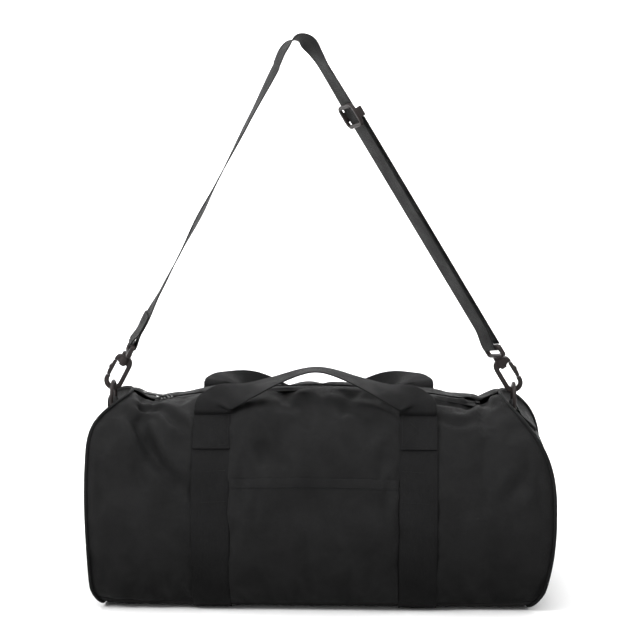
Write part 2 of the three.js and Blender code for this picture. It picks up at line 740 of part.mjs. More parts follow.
// Direction of one side of the strap, from its ring up.
function strapSide(end) {
  const ring = vec(end * endOf(end).ringX, 0, RING_AXIS_Z + RING_BOW);
  const knee = vec(end < 0 ? LEFT_KNEE_X : RIGHT_KNEE_X, 0, STRAP_KNEE_Z);
  const along = knee.clone().sub(ring).normalize();
  return { ring, knee, along };
}

// How far the webbing is turned about its own line, in degrees, by height: 0 faces along the
// triangle's plane, and positive shows the inner face towards the front.
const LEFT_TWIST = [
  [330, -8],
  [365, -13],
  [405, -4],
  [455, 0],
  [505, 7],
  [552, 0],
  [632, -7],
  [703, -15],
];
const RIGHT_TWIST = [
  [330, 25],
  [640, 25],
  [703, 22],
];
const APEX = [
  { x: -45.5, z: 722, twist: -15 },
  { x: -36, z: 733.5, twist: -8 },
  { x: -23.5, z: 739.5, twist: 20 },
  { x: -11, z: 733, twist: 36 },
  { x: -0.5, z: 719, twist: 28 },
];

function twistAt(table, z) {
  const next = Math.max(1, table.findIndex(([height]) => height > z));
  const last = table.length - 1;
  const [a, b] = z >= table[last][0] ? [table[last], table[last]] : [table[next - 1], table[next]];
  const share = a === b ? 0 : THREE.MathUtils.clamp((z - a[0]) / (b[0] - a[0]), 0, 1);
  return THREE.MathUtils.lerp(a[1], b[1], smooth(share));
}

// The direction from the back edge of the webbing to its front edge.
function acrossAt(tangent, twist) {
  const outward = vec(-tangent.z, 0, tangent.x);
  const turn = THREE.MathUtils.degToRad(twist);
  return vec(0, -Math.cos(turn), 0).addScaledVector(outward, Math.sin(turn));
}

// Where the webbing's line meets a hook's eye, and how the eye is turned.
const EYE_TWIST = { "-1": LEFT_TWIST[0][1], 1: RIGHT_TWIST[0][1] };
// The webbing's middle stands this far off the eye's middle.
const LOOP_OUT = EYE_THICK / 2 + 2 * TOUCH + STRAP_CLOTH / 2;

// Stations of the webbing that leaves the eye on one face: face 1 is the outer one.
function spanStations(end, face, fromAlong, toAlong, count, offAt) {
  const { ring, along } = strapSide(end);
  const travel = end < 0 ? along : along.clone().negate();
  const table = end < 0 ? LEFT_TWIST : RIGHT_TWIST;
  return steps(fromAlong, toAlong, count).map((far) => {
    const at = ring.clone().addScaledVector(along, far);
    const across = acrossAt(travel, twistAt(table, at.z));
    const outward = travel.clone().cross(across).negate().normalize();
    const off = offAt ? offAt(far) : 0;
    at.addScaledVector(outward, face * off);
    return { at, across };
  });
}

const EYE_FROM_RING = EYE_BAR - WIRE_IN_BOW;
const kneeFrom = (end) => strapSide(end).knee.distanceTo(strapSide(end).ring);
const ADJUSTER_FROM_RING = (ADJUSTER_Z - (RING_AXIS_Z + RING_BOW)) / strapSide(1).along.z;

// A turn of webbing round a hook's eye bar, from one face to the other.
function eyeTurn(end, travelSign) {
  const { ring, along } = strapSide(end);
  const travel = end < 0 ? along : along.clone().negate();
  const across = acrossAt(travel, EYE_TWIST[end]);
  const outward = travel.clone().cross(across).negate().normalize();
  const centre = ring.clone().addScaledVector(along, EYE_FROM_RING);
  const radius = LOOP_OUT;
  return steps(0, Math.PI, 6).map((turn) => ({
    at: centre
      .clone()
      .addScaledVector(outward, travelSign * radius * Math.cos(turn))
      .addScaledVector(along, -radius * Math.sin(turn)),
    across,
  }));
}

// The layers close up a little way from the eye bar.
const closing = (far, wide, narrow, within) => {
  const share = smooth((far - EYE_FROM_RING) / within);
  return THREE.MathUtils.lerp(wide, narrow, share);
};

const RETURN_SHORT = 6; // the return layer stops this far under the adjuster's middle
const SEWN_END = 46; // the webbing's left end is folded back and sewn over this length
const SEWN_GAP = (STRAP_CLOTH + TOUCH) / 2;

function addStrap() {
  const leftOff = (far) => closing(far, LOOP_OUT, SEWN_GAP, 22);
  const fold = spanStations(-1, 1, EYE_FROM_RING + SEWN_END, EYE_FROM_RING + 3, 6, leftOff);
  const leftTurn = eyeTurn(-1, 1);
  const rightOff = (far) => closing(far, LOOP_OUT, 0, 30);
  const left = spanStations(-1, -1, EYE_FROM_RING + 3, kneeFrom(-1), 30, leftOff);
  const apexPath = new THREE.CatmullRomCurve3(
    [
      strapSide(-1).knee.clone().addScaledVector(strapSide(-1).along, -30),
      strapSide(-1).knee,
      ...APEX.map(({ x, z }) => vec(x, 0, z)),
      strapSide(1).knee,
      strapSide(1).knee.clone().addScaledVector(strapSide(1).along, -30),
    ],
    false,
    "centripetal",
  );
  const twists = [-15, -15, ...APEX.map(({ twist }) => twist), 22, 22];
  const spans = twists.length - 1;
  const apex = steps(1 / spans, 1 - 1 / spans, 24).map((t) => {
    const [whole, part] = [Math.floor(t * spans + 1e-9), (t * spans) % 1];
    const twist = THREE.MathUtils.lerp(twists[whole], twists[Math.min(whole + 1, spans)], part);
    return { at: apexPath.getPoint(t), across: acrossAt(apexPath.getTangent(t), twist) };
  });
  const right = spanStations(1, -1, kneeFrom(1), EYE_FROM_RING + 3, 26, rightOff);
  const main = [...leftTurn.slice(3), ...left, ...apex.slice(1, -1), ...right];
  addMesh("shoulder_strap", ribbon(main, STRAP_WIDTH, STRAP_CLOTH), "webbing");

  const sewn = [...fold, ...leftTurn.slice(0, 3)];
  const sewnEnd = ribbon(shortened(sewn, TOUCH), STRAP_WIDTH, STRAP_CLOTH);
  addMesh("strap_sewn_end", sewnEnd, "webbing");

  const returnEnd = ADJUSTER_FROM_RING - RETURN_SHORT;
  const returnOff = (far) =>
    THREE.MathUtils.mapLinear(far, EYE_FROM_RING, returnEnd, LOOP_OUT, MIDDLE_BAR_Y);
  const turn = eyeTurn(1, -1);
  const up = spanStations(1, 1, EYE_FROM_RING + 3, returnEnd, 24, returnOff);
  const back = shortened([...turn, ...up].reverse(), TOUCH).reverse();
  addMesh("strap_return", ribbon(back.reverse(), STRAP_WIDTH, STRAP_CLOTH), "webbing");
}

// The same stations with the last one pulled back by a gap.
function shortened(stations, gap) {
  const last = stations[stations.length - 1];
  const before = stations[stations.length - 2];
  const back = before.at.clone().sub(last.at).normalize();
  const at = last.at.clone().addScaledVector(back, gap);
  return [...stations.slice(0, -1), { at, across: last.across }];
}

// The adjuster, in its own frame: X across the webbing, Z along it, and Y out of the webbing's
// outer face. Its end bars cross the inner face, and its middle bar holds the return layer.
const ADJUSTER_WIDE = 50;
const ADJUSTER_LONG = 34;
const MIDDLE_BAR_Y = 5;
const MIDDLE_BAR_THICK = 2.6;
const MIDDLE_BAR_LONG = 6;

function adjusterGeometry() {
  const slot = roundedRectangle(STRAP_WIDTH + 2.4, ADJUSTER_LONG - 11, 2.5);
  const frame = shapeOf(roundedRectangle(ADJUSTER_WIDE, ADJUSTER_LONG, 9), [slot]);
  const frameY = -1.2 - 4.6 / 2;
  let made = solid(plate(frame, 4.6, 0.9).translate(0, frameY, 0));
  const rail = (ADJUSTER_WIDE + STRAP_WIDTH + 2.4) / 4;
  const railTop = MIDDLE_BAR_Y + MIDDLE_BAR_THICK / 2;
  const railDepth = railTop - frameY;
  for (const side of [-1, 1]) {
    made = made.add(solid(boxAt(3.4, railDepth, 14, side * rail, railTop - railDepth / 2, 0)));
  }
  const bar = boxAt(2 * rail, MIDDLE_BAR_THICK, MIDDLE_BAR_LONG, 0, MIDDLE_BAR_Y, 0);
  return geometryOf(made.add(solid(bar)));
}

// The sewn loop of webbing round the adjuster's middle bar, in the adjuster's frame.
function adjusterLoopGeometry() {
  const [deep, long] = [MIDDLE_BAR_THICK + 2 * TOUCH, MIDDLE_BAR_LONG + 2 * TOUCH];
  const hole = roundedRectangle(deep, long, 0.6);
  const outside = roundedRectangle(deep + 2 * STRAP_CLOTH, long + 2 * STRAP_CLOTH, 2);
  const loop = plate(shapeOf(outside, [hole]), STRAP_WIDTH, 0.4);
  return loop.rotateZ(Math.PI / 2).translate(0, MIDDLE_BAR_Y, 0);
}

function basisQuaternion(across, out, along) {
  return new THREE.Quaternion().setFromRotationMatrix(
    new THREE.Matrix4().makeBasis(across, out, along),
  );
}

function addStrapHardware() {
  for (const [end, name] of [
    [-1, "left"],
    [1, "right"],
  ]) {
    const { ring, along } = strapSide(end);
    const centre = ring.clone().addScaledVector(along, -WIRE_IN_BOW);
    const hook = new THREE.Group();
    hook.position.copy(centre);
    const outwards = vec(end * along.z, 0, -end * along.x);
    hook.quaternion.copy(basisQuaternion(outwards, along.clone().cross(outwards), along));
    bag.add(hook);
    addMesh(`${name}_hook`, hookGeometry(), "plastic", hook);
    addMesh(`${name}_gate`, gateGeometry(), "plastic", hook);
    addMesh(`${name}_gate_spring`, springGeometry(), "metal", hook);

    const travel = end < 0 ? along : along.clone().negate();
    const across = acrossAt(travel, EYE_TWIST[end]);
    const eye = addMesh(`${name}_hook_eye`, eyeGeometry(), "plastic");
    eye.position.copy(centre);
    eye.quaternion.copy(basisQuaternion(across, along.clone().cross(across), along));
  }
  const { ring, along } = strapSide(1);
  const travel = along.clone().negate();
  const across = acrossAt(travel, twistAt(RIGHT_TWIST, ADJUSTER_Z));
  const adjuster = addMesh("strap_adjuster", adjusterGeometry(), "plastic");
  adjuster.position.copy(ring).addScaledVector(along, ADJUSTER_FROM_RING);
  adjuster.quaternion.copy(basisQuaternion(across, along.clone().cross(across), along));
  const loop = addMesh("adjuster_loop", adjusterLoopGeometry(), "webbing");
  loop.position.copy(adjuster.position);
  loop.quaternion.copy(adjuster.quaternion);
}

function ringGeometry() {
  const out = RING_BOW + RING_WIRE;
  const inner = RING_BOW - RING_WIRE;
  const outline = (radius, bottom, corner) => [
    ...arc(radius - corner, bottom + corner, corner, -1, 0, 3),
    ...arc(0, 0, radius, 0, 2, 14),
    ...arc(-radius + corner, bottom + corner, corner, 2, 3, 3),
  ];
  const hole = outline(inner, -RING_DROP + RING_WIRE, 1.2);
  const shape = shapeOf(outline(out, -RING_DROP - RING_WIRE, 3.5), [hole]);
  return plate(shape, 2 * RING_WIRE, 1.3).rotateZ(Math.PI / 2);
}

const TAB_WIDTH = 34;
const TAB_OFF = 2.4; // the inner layer's middle, off the end panel
const TAB_SLACK = 0.2; // the fold is this much wider than the ring's bar
const TAB_REACH = [34, 24, 15]; // how far under the ring's bar the tab lies on the end panel

// A tab holds its ring's bar in a fold, and both its layers lie down the end panel.
function tabGeometry(end) {
  const bar = vec(end.sign * end.ringX, 0, RING_AXIS_Z - RING_DROP);
  const radius = RING_WIRE + TOUCH + TAB_SLACK + STRAP_CLOTH / 2;
  const top = vec(end.ear + SEAM_GAP + CLOTH, 0, END_TOP_Z);
  const onPanel = (drop, off) => {
    const share = (bar.z - drop - END_MIDDLE_Z) / (END_TOP_Z - END_MIDDLE_Z);
    const [at, above] = [domePoint(end, top, share), domePoint(end, top, share + 0.02)];
    const up = above.sub(at).normalize();
    return at.addScaledVector(vec(end.sign * up.z, 0, -end.sign * up.x), off);
  };
  const down = onPanel(TAB_REACH[2], TAB_OFF).sub(bar);
  const lean = Math.atan2(end.sign * down.x + radius, -down.z);
  const turn = steps(Math.PI + lean, lean, 7).map((angle) =>
    bar.clone().add(vec(end.sign * radius * Math.cos(angle), 0, radius * Math.sin(angle))),
  );
  const inner = TAB_REACH.map((drop) => onPanel(drop, TAB_OFF));
  const outer = TAB_REACH.map((drop) => onPanel(drop, TAB_OFF + STRAP_CLOTH + TOUCH)).reverse();
  const across = vec(0, end.sign, 0);
  const path = [...inner, ...turn, ...outer];
  return ribbon(path.map((at) => ({ at, across })), TAB_WIDTH, STRAP_CLOTH);
}

function addRings() {
  for (const end of Object.values(ENDS)) {
    const ring = addMesh(`${end.name}_ring`, ringGeometry(), "plastic");
    ring.position.set(end.sign * end.ringX, 0, RING_AXIS_Z);
    addMesh(`${end.name}_ring_tab`, tabGeometry(end), "webbing");
  }
}

addPanels();
addEnds();
addBaseBoard();
addPocket();
addBands();
addHandles();
addZip();
addSlider();
addStrap();
addStrapHardware();
addRings();

export default bag;
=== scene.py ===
# Duffel bag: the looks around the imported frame. Metres, +X to the bag's right end, -Y to its front.
import json
import math
from dataclasses import dataclass

import bmesh
import bpy
import numpy as np
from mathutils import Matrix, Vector, noise


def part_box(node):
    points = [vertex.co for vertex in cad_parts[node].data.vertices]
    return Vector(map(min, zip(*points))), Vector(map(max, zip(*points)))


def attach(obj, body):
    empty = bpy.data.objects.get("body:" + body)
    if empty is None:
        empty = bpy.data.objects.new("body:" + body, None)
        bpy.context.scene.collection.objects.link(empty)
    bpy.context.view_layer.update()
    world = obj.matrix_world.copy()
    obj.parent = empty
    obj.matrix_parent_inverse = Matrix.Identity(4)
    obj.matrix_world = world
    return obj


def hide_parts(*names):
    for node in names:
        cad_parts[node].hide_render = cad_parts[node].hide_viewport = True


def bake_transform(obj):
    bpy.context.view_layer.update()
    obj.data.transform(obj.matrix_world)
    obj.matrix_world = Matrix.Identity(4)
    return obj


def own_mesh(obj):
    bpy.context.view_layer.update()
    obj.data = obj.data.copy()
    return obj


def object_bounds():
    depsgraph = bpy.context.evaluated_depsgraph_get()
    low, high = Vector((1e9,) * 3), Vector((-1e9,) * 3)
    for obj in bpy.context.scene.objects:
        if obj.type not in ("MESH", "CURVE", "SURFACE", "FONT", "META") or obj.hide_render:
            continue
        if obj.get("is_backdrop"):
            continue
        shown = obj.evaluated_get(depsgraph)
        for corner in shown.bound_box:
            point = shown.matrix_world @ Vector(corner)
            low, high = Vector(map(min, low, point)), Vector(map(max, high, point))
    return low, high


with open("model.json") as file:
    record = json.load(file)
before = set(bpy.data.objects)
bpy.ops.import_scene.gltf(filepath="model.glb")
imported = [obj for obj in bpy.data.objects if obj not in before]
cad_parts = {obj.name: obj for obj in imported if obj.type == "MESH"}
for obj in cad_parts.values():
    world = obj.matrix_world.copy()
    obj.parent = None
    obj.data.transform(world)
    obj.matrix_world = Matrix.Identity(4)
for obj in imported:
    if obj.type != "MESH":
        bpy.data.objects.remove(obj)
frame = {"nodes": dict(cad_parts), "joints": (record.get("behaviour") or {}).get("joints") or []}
CAD_LOW, CAD_HIGH = (list(corner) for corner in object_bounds())
MM = 0.001


# ---- Sizes, from the frame ----
def low(node):
    return np.array(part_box(node)[0])


def high(node):
    return np.array(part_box(node)[1])


def joint(name):
    return next(j for j in frame["joints"] if j["name"] == name)


HALF_DEPTH = -low("front_panel")[1]
ZIP_TOP_Z = high("front_panel")[2] + 0.2 * MM
ZIP_CENTRE_Z = joint("zip_travel")["pos_m"][2]
ZIP_RADIUS = ZIP_TOP_Z - ZIP_CENTRE_Z
BASE_Z = low("base_panel")[2]
BASE_RISE = 5 * MM  # from the board's ends out to the end seams
BOARD_HALF = high("base_board")[0]
FLAT_HALF = high("base_board")[1] + 7 * MM
WIDEST_Z = 0.429 * ZIP_TOP_Z  # the height at which the bag is deepest
END_NARROWER = 7 * MM  # the ends' half depth is this much less than the middle's
MOUTH_X = high("front_zip_tape")[0] + 3 * MM
END_TOP_Z = high("right_end_panel")[2] + 0.2 * MM
END_MIDDLE_Z = (END_TOP_Z + BASE_Z) / 2
CORNER_TUCK, CORNER_HIGH = 14 * MM, 32 * MM  # the soft lower corners of the ends


@dataclass
class End:
    """One end of the bag, by where its seam stands."""

    name: str
    sign: int
    half: float  # the middle of the bag to the seam, low down
    ear: float  # the same along the top
    widest_z: float  # height where the seam stands furthest out
    power: float  # how late it leans in above that
    tuck: float  # how far it draws in at the floor
    bulge: float  # how far its panel domes out
    ring_x: float  # where the strap's ring hangs


LEFT = End(
    "left",
    -1,
    half=-low("front_panel")[0],
    ear=-low("left_zip_gusset")[0] + 5 * MM,
    widest_z=190 * MM,
    power=4.5,
    tuck=6 * MM,
    bulge=14 * MM,
    ring_x=-joint("left_ring_pivot")["pos_m"][0],
)
RIGHT = End(
    "right",
    1,
    half=high("front_panel")[0],
    ear=high("right_zip_gusset")[0] + 5 * MM,
    widest_z=120 * MM,
    power=3.4,
    tuck=20 * MM,
    bulge=8 * MM,
    ring_x=joint("right_ring_pivot")["pos_m"][0],
)
ENDS = (LEFT, RIGHT)


FRONT, BACK = -1, 1
SIDES = ((FRONT, "front"), (BACK, "back"))


def end_of(x):
    return LEFT if x < 0 else RIGHT


BAND_IN, BAND_OUT = low("base_right_band")[0], high("base_right_band")[0]
BAND_X = (BAND_IN + BAND_OUT) / 2
BAND_WIDTH = BAND_OUT - BAND_IN
HANDLE_PIVOT = np.array(joint("front_handle_swing")["pos_m"])
HANDLE_Z = HANDLE_PIVOT[2] - 7 * MM
POCKET_TOP_Z = high("front_pocket_panel")[2] - 0.6 * MM
MOUTH_EDGE = 7.5 * MM  # the cloth's edge, off the zip's middle
CLOTH = 1.5 * MM
WEBBING = 1.9 * MM

RING_BAR_Z = joint("right_ring_pivot")["pos_m"][2]
RING_WIRE = (high("right_ring")[0] - low("right_ring")[0]) / 2
RING_TOP_Z = high("right_ring")[2] - RING_WIRE
STRAP_WIDTH = 38 * MM
STRAP_CLOTH = 1.7 * MM
ALONG = {
    -1: np.array(joint("left_swivel")["axis"]),
    1: np.array(joint("right_swivel")["axis"]),
}
EYE_FROM_RING = 58.8 * MM  # the eye's bar, along the strap from the ring's wire
EYE_OFF = 4.5 * MM  # the webbing's middle, off the eye's middle
ADJUSTER_FROM_RING = (
    (low("strap_adjuster")[2] + high("strap_adjuster")[2]) / 2 - RING_TOP_Z
) / ALONG[1][2]
KNEE_Z = 703 * MM  # each side of the strap is straight up to here


# ---- Small maths ----
def smooth(t):
    t = np.clip(t, 0, 1)
    return t * t * (3 - 2 * t)


def unit(v):
    v = np.asarray(v, float)
    return v / np.linalg.norm(v)


def units(rows):
    """Each row, made one unit long."""
    return rows / np.linalg.norm(rows, axis=-1, keepdims=True)


def square_to(rows, along):
    """Each row, turned square to the direction beside it."""
    return units(rows - along * np.sum(rows * along, axis=1, keepdims=True))


def lengths_along(points):
    """How far along a path each of its points is."""
    return np.concatenate([[0], np.cumsum(np.linalg.norm(np.diff(points, axis=0), axis=1))])


def interpolated(at, places, table):
    """The row of a table at a place between its own."""
    return np.array([np.interp(at, places, column) for column in table.T])


def wobble(point, size, seed=0.0):
    """A smooth unevenness from -1 to 1, with bumps of about this size."""
    return noise.noise(Vector(point) / size + Vector((seed, 1.7 * seed, 0.6 * seed)))


def bezier(a, b, c, d, count):
    t = np.linspace(0, 1, count)[:, None]
    points = [np.array(p, float) for p in (a, b, c, d)]
    weights = [(1 - t) ** 3, 3 * t * (1 - t) ** 2, 3 * t * t * (1 - t), t**3]
    return sum(w * p for w, p in zip(weights, points))


def spline(controls, count):
    """A smooth curve through the controls, in even steps of the parameter."""
    controls = np.array(controls, float)
    padded = np.vstack([2 * controls[0] - controls[1], controls, 2 * controls[-1] - controls[-2]])
    places = np.linspace(0, len(controls) - 1 - 1e-9, count)
    rows = []
    for place in places:
        i, t = int(place), place - int(place)
        p0, p1, p2, p3 = padded[i : i + 4]
        rows.append(
            0.5
            * (
                2 * p1
                + (p2 - p0) * t
                + (2 * p0 - 5 * p1 + 4 * p2 - p3) * t * t
                + (3 * p1 - p0 - 3 * p2 + p3) * t**3
            )
        )
    return np.array(rows)


# ---- The bag's skin, as in the CAD ----
def zip_z(x):
    return ZIP_CENTRE_Z + np.sqrt(ZIP_RADIUS**2 - x * x)


def top_z(x):
    ear = end_of(x).ear
    past = smooth((abs(x) - MOUTH_X) / (ear - MOUTH_X))
    return zip_z(min(abs(x), ear)) * (1 - past) + END_TOP_Z * past


def end_x(end, z):
    """How far out an end's seam stands at a height: the ends lean in towards the top."""
    below = np.clip(end.widest_z - z, 0, None) / end.widest_z
    corner = CORNER_TUCK * np.clip(1 - z / CORNER_HIGH, 0, None) ** 2
    above = np.clip(z - end.widest_z, 0, None) / (END_TOP_Z - end.widest_z)
    return end.half - corner - end.tuck * below**2 - (end.half - end.ear) * above**end.power


def outline(x):
    """Half of the bag's outline across it, from the middle of the base to the zip: out, up."""
    reach = end_of(x).half
    half = HALF_DEPTH - END_NARROWER * (x / reach) ** 2
    top = top_z(x)
    base = BASE_Z + BASE_RISE * smooth((abs(x) - BOARD_HALF) / (reach - BOARD_HALF))
    flat = np.array([[0, base], [FLAT_HALF / 2, base]])
    corner = bezier(
        (FLAT_HALF, base), (half - 6 * MM, base), (half, 0.35 * WIDEST_Z), (half, WIDEST_Z), 60
    )
    shoulder = bezier(
        (half, WIDEST_Z), (half, 0.62 * top + 30 * MM), (0.66 * half, top), (0, top), 90
    )
    points = np.vstack([flat, corner, shoulder[1:]])
    return points, lengths_along(points)


def skin(side, x, share, lift=0.0):
    """A point of the skin. side is -1 for the front and 1 for the back; share runs from 0 at the
    middle of the base to 1 at the zip; lift is off the cloth."""
    points, lengths = outline(x)
    far = share * lengths[-1]
    step = 0.5 * MM
    at, before, after = (
        interpolated(s, lengths, points)
        for s in (far, max(far - step, 0), min(far + step, lengths[-1]))
    )
    tangent = unit(after - before)
    return np.array([x, side * (at[0] + lift * tangent[1]), at[1] - lift * tangent[0]])


def share_at(z, x=BAND_X):
    """Share of the outline's length at which it reaches a height."""
    points, lengths = outline(x)
    heights = np.maximum.accumulate(points[:, 1] + np.arange(len(points)) * 1e-9)
    return np.interp(z, heights, lengths) / lengths[-1]


HALF_GIRTH = outline(0)[1][-1]
BASE_SHARE = share_at(14 * MM, 0)
POCKET_SHARE = share_at(POCKET_TOP_Z, 0)
HANDLE_SHARE = share_at(HANDLE_Z)
MOUTH_SHARE = 1 - MOUTH_EDGE / HALF_GIRTH


# ---- Materials ----
def shader(name, colour, roughness, specular=0.5, sheen=0.0, metallic=0.0):
    material = bpy.data.materials.new(name)
    material.use_nodes = True
    tree = material.node_tree
    bsdf = tree.nodes["Principled BSDF"]
    bsdf.inputs["Base Color"].default_value = (*colour, 1)
    bsdf.inputs["Roughness"].default_value = roughness
    bsdf.inputs["Metallic"].default_value = metallic
    bsdf.inputs["Specular IOR Level"].default_value = specular
    bsdf.inputs["Sheen Weight"].default_value = sheen
    bsdf.inputs["Sheen Roughness"].default_value = 0.5
    return material, tree, bsdf


def add_node(tree, kind, inputs):
    """A node with its inputs set: a socket is linked, and a number is written in."""
    node = tree.nodes.new(kind)
    for name, value in inputs.items():
        if isinstance(value, bpy.types.NodeSocket):
            tree.links.new(value, node.inputs[name])
        else:
            node.inputs[name].default_value = value
    return node


def maths(tree, operation, *values):
    node = add_node(tree, "ShaderNodeMath", dict(enumerate(values)))
    node.operation = operation
    return node.outputs[0]


def times(tree, a, b):
    return maths(tree, "MULTIPLY", a, b)


def texture_noise(tree, vector, scale, detail=3.0, roughness=0.5):
    inputs = {"Vector": vector, "Scale": scale, "Detail": detail, "Roughness": roughness}
    return add_node(tree, "ShaderNodeTexNoise", inputs).outputs["Fac"]


def remap(tree, value, low_to, high_to, low_from=0.3, high_from=0.7):
    inputs = {"From Min": low_from, "From Max": high_from, "To Min": low_to, "To Max": high_to}
    return add_node(tree, "ShaderNodeMapRange", {"Value": value, **inputs}).outputs["Result"]


def tinted(tree, bsdf, colour, factor):
    """The colour times a factor that varies over the surface."""
    node = tree.nodes.new("ShaderNodeMix")
    node.data_type = "RGBA"
    node.blend_type = "MULTIPLY"
    node.inputs["Factor"].default_value = 1
    node.inputs["A"].default_value = (*colour, 1)
    combine = tree.nodes.new("ShaderNodeCombineColor")
    for channel in combine.inputs:
        tree.links.new(factor, channel)
    tree.links.new(combine.outputs["Color"], node.inputs["B"])
    tree.links.new(node.outputs["Result"], bsdf.inputs["Base Color"])


def bump(tree, bsdf, height, distance, strength=1.0):
    inputs = {"Height": height, "Distance": distance, "Strength": strength}
    node = add_node(tree, "ShaderNodeBump", inputs)
    tree.links.new(node.outputs["Normal"], bsdf.inputs["Normal"])


def object_places(tree):
    return tree.nodes.new("ShaderNodeTexCoord").outputs["Object"]


PAINTED_SHADE_HEIGHTS = (40 * MM, 130 * MM)  # heights between which the painted shade low down fades out


def woven(name, colour, warp, weft, depth, roughness, sheen, mottle=0.2, low_shade=1.0, specular=0.1):
    """Cloth woven from threads at these spacings, read from the mesh's own flat coordinates.
    The second-last argument is the share of its colour left low down, as painted shade towards the
    base."""
    material, tree, bsdf = shader(name, colour, roughness, specular, sheen)
    place = tree.nodes.new("ShaderNodeUVMap")
    place.uv_map = "flat"
    axes = add_node(tree, "ShaderNodeSeparateXYZ", {0: place.outputs["UV"]})
    across = times(tree, axes.outputs["X"], 2 * math.pi / warp)
    along = times(tree, axes.outputs["Y"], 2 * math.pi / weft)
    over = times(tree, maths(tree, "SINE", across), maths(tree, "SINE", along))
    ridge = maths(tree, "ABSOLUTE", maths(tree, "SINE", times(tree, across, 0.5)))
    weave = maths(tree, "ADD", over, times(tree, ridge, 0.6))
    spread = object_places(tree)
    slub = texture_noise(tree, spread, 900, 2)
    bump(tree, bsdf, maths(tree, "ADD", weave, times(tree, slub, 0.8)), depth)
    cloud = remap(tree, texture_noise(tree, spread, 14, 4, 0.6), 1 - mottle, 1 + mottle)
    thread = remap(tree, slub, 0.82, 1.2)
    lit = remap(tree, weave, 0.86, 1.14, -1, 1.6)
    # Painted shade: the colour darkens towards the base, down to the given share below the lower
    # height.
    height = add_node(tree, "ShaderNodeSeparateXYZ", {0: spread}).outputs["Z"]
    shade_factor = remap(tree, height, low_shade, 1, *PAINTED_SHADE_HEIGHTS)
    factor = times(tree, times(tree, cloud, thread), lit)
    tinted(tree, bsdf, colour, times(tree, factor, shade_factor))
    worn = remap(tree, texture_noise(tree, spread, 40, 3), roughness - 0.08, roughness + 0.08)
    tree.links.new(worn, bsdf.inputs["Roughness"])
    return material


def moulded(name, colour, roughness, grain=600, depth=0.05 * MM, metallic=0.0, specular=0.5):
    """Moulded plastic or enamelled metal: a fine grain, with faint handling marks."""
    material, tree, bsdf = shader(name, colour, roughness, specular, metallic=metallic)
    spread = object_places(tree)
    bump(tree, bsdf, texture_noise(tree, spread, grain, 3), depth, 0.5)
    cloud = remap(tree, texture_noise(tree, spread, 70, 4, 0.65), 0.8, 1.25)
    tinted(tree, bsdf, colour, cloud)
    rubbed = remap(tree, texture_noise(tree, spread, 120, 5, 0.7), roughness - 0.1, roughness + 0.12)
    tree.links.new(rubbed, bsdf.inputs["Roughness"])
    return material


CLOTH_BLACK = (0.0078, 0.0078, 0.008)
WEBBING_BLACK = (0.0085, 0.0085, 0.0088)
STRAP_BLACK = (0.0105, 0.0102, 0.0102)
TAPE_BLACK = (0.0085, 0.0085, 0.0088)
THREAD_BLACK = (0.011, 0.011, 0.0113)
ACETAL_BLACK = (0.02, 0.0155, 0.015)
FINE, COARSE = 0.9 * MM, 1.9 * MM  # thread spacings

# Cloth, pocket and webbing get painted shade towards the base: the number after the mottle is the
# share of colour left there.
LOOKS = {
    "cloth": woven("polyester_cloth", CLOTH_BLACK, FINE, FINE, 0.1 * MM, 0.66, 0.008, 0.3, 0.3),
    "pocket": woven("pocket_cloth", CLOTH_BLACK, FINE, FINE, 0.1 * MM, 0.66, 0.008, 0.3, 0.4),
    "lining": woven("binding_tape", TAPE_BLACK, 1.2 * MM, FINE, 0.1 * MM, 0.85, 0.01),
    "webbing": woven(
        "ribbed_webbing", WEBBING_BLACK, COARSE, 1.5 * MM, 0.3 * MM, 0.66, 0.005, 0.15, 0.25, 0.08
    ),
    "strap": woven("strap_webbing", STRAP_BLACK, 1.7 * MM, 1.4 * MM, 0.28 * MM, 0.6, 0.01, 0.12),
    "tape": woven("zip_tape", TAPE_BLACK, 1.0 * MM, 2.0 * MM, 0.12 * MM, 0.75, 0.01),
    "thread": moulded("sewing_thread", THREAD_BLACK, 0.6, 2500, 0.04 * MM, specular=0.15),
    "plastic": moulded("acetal", ACETAL_BLACK, 0.48, specular=0.2),
    "coil": moulded("zip_coil", (0.02, 0.02, 0.0205), 0.38, 1500),
    "enamel": moulded("black_enamel", (0.014, 0.014, 0.014), 0.42, 900, 0.02 * MM, 0.2, 0.25),
    "metal": moulded("spring_steel", (0.5, 0.49, 0.47), 0.34, 1500, 0.02 * MM, 1.0),
    "board": moulded("polyethylene_board", (0.05, 0.05, 0.05), 0.5, 300),
}


# ---- Mesh building ----
def link(piece):
    bpy.context.scene.collection.objects.link(piece)


def new_object(name, vertices, faces, look, flat=None):
    mesh = bpy.data.meshes.new(name)
    mesh.from_pydata([tuple(v) for v in vertices], [], [tuple(f) for f in faces])
    if flat is not None:
        layer = mesh.uv_layers.new(name="flat")
        corners = np.zeros(len(mesh.loops), int)
        mesh.loops.foreach_get("vertex_index", corners)
        layer.data.foreach_set("uv", np.asarray(flat, np.float32)[corners].ravel())
    mesh.materials.append(LOOKS[look])
    mesh.polygons.foreach_set("use_smooth", [True] * len(mesh.polygons))
    mesh.update()
    piece = bpy.data.objects.new(name, mesh)
    link(piece)
    return piece


def finish_piece(piece, body, slot, *nodes):
    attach(piece, body)
    if nodes:
        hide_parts(*nodes)
    return piece


def grid_normals(grid):
    return units(np.cross(np.gradient(grid, axis=0), np.gradient(grid, axis=1)))


def grid_faces(rows, columns):
    """A grid's vertex numbers, and its faces as rows of four."""
    index = np.arange(rows * columns).reshape(rows, columns)
    corners = [index[:-1, :-1], index[1:, :-1], index[1:, 1:], index[:-1, 1:]]
    return index, np.stack(corners, axis=2).reshape(-1, 4)


def flat_places(grid):
    """Where each point of a grid lies when the cloth is flat, in metres."""
    down = np.linalg.norm(np.diff(grid, axis=0), axis=2)
    right = np.linalg.norm(np.diff(grid, axis=1), axis=2)
    v = np.concatenate([[0], np.cumsum(down.mean(axis=1))])
    u = np.concatenate([[0], np.cumsum(right.mean(axis=0))])
    return np.stack(np.meshgrid(u, v), axis=2)


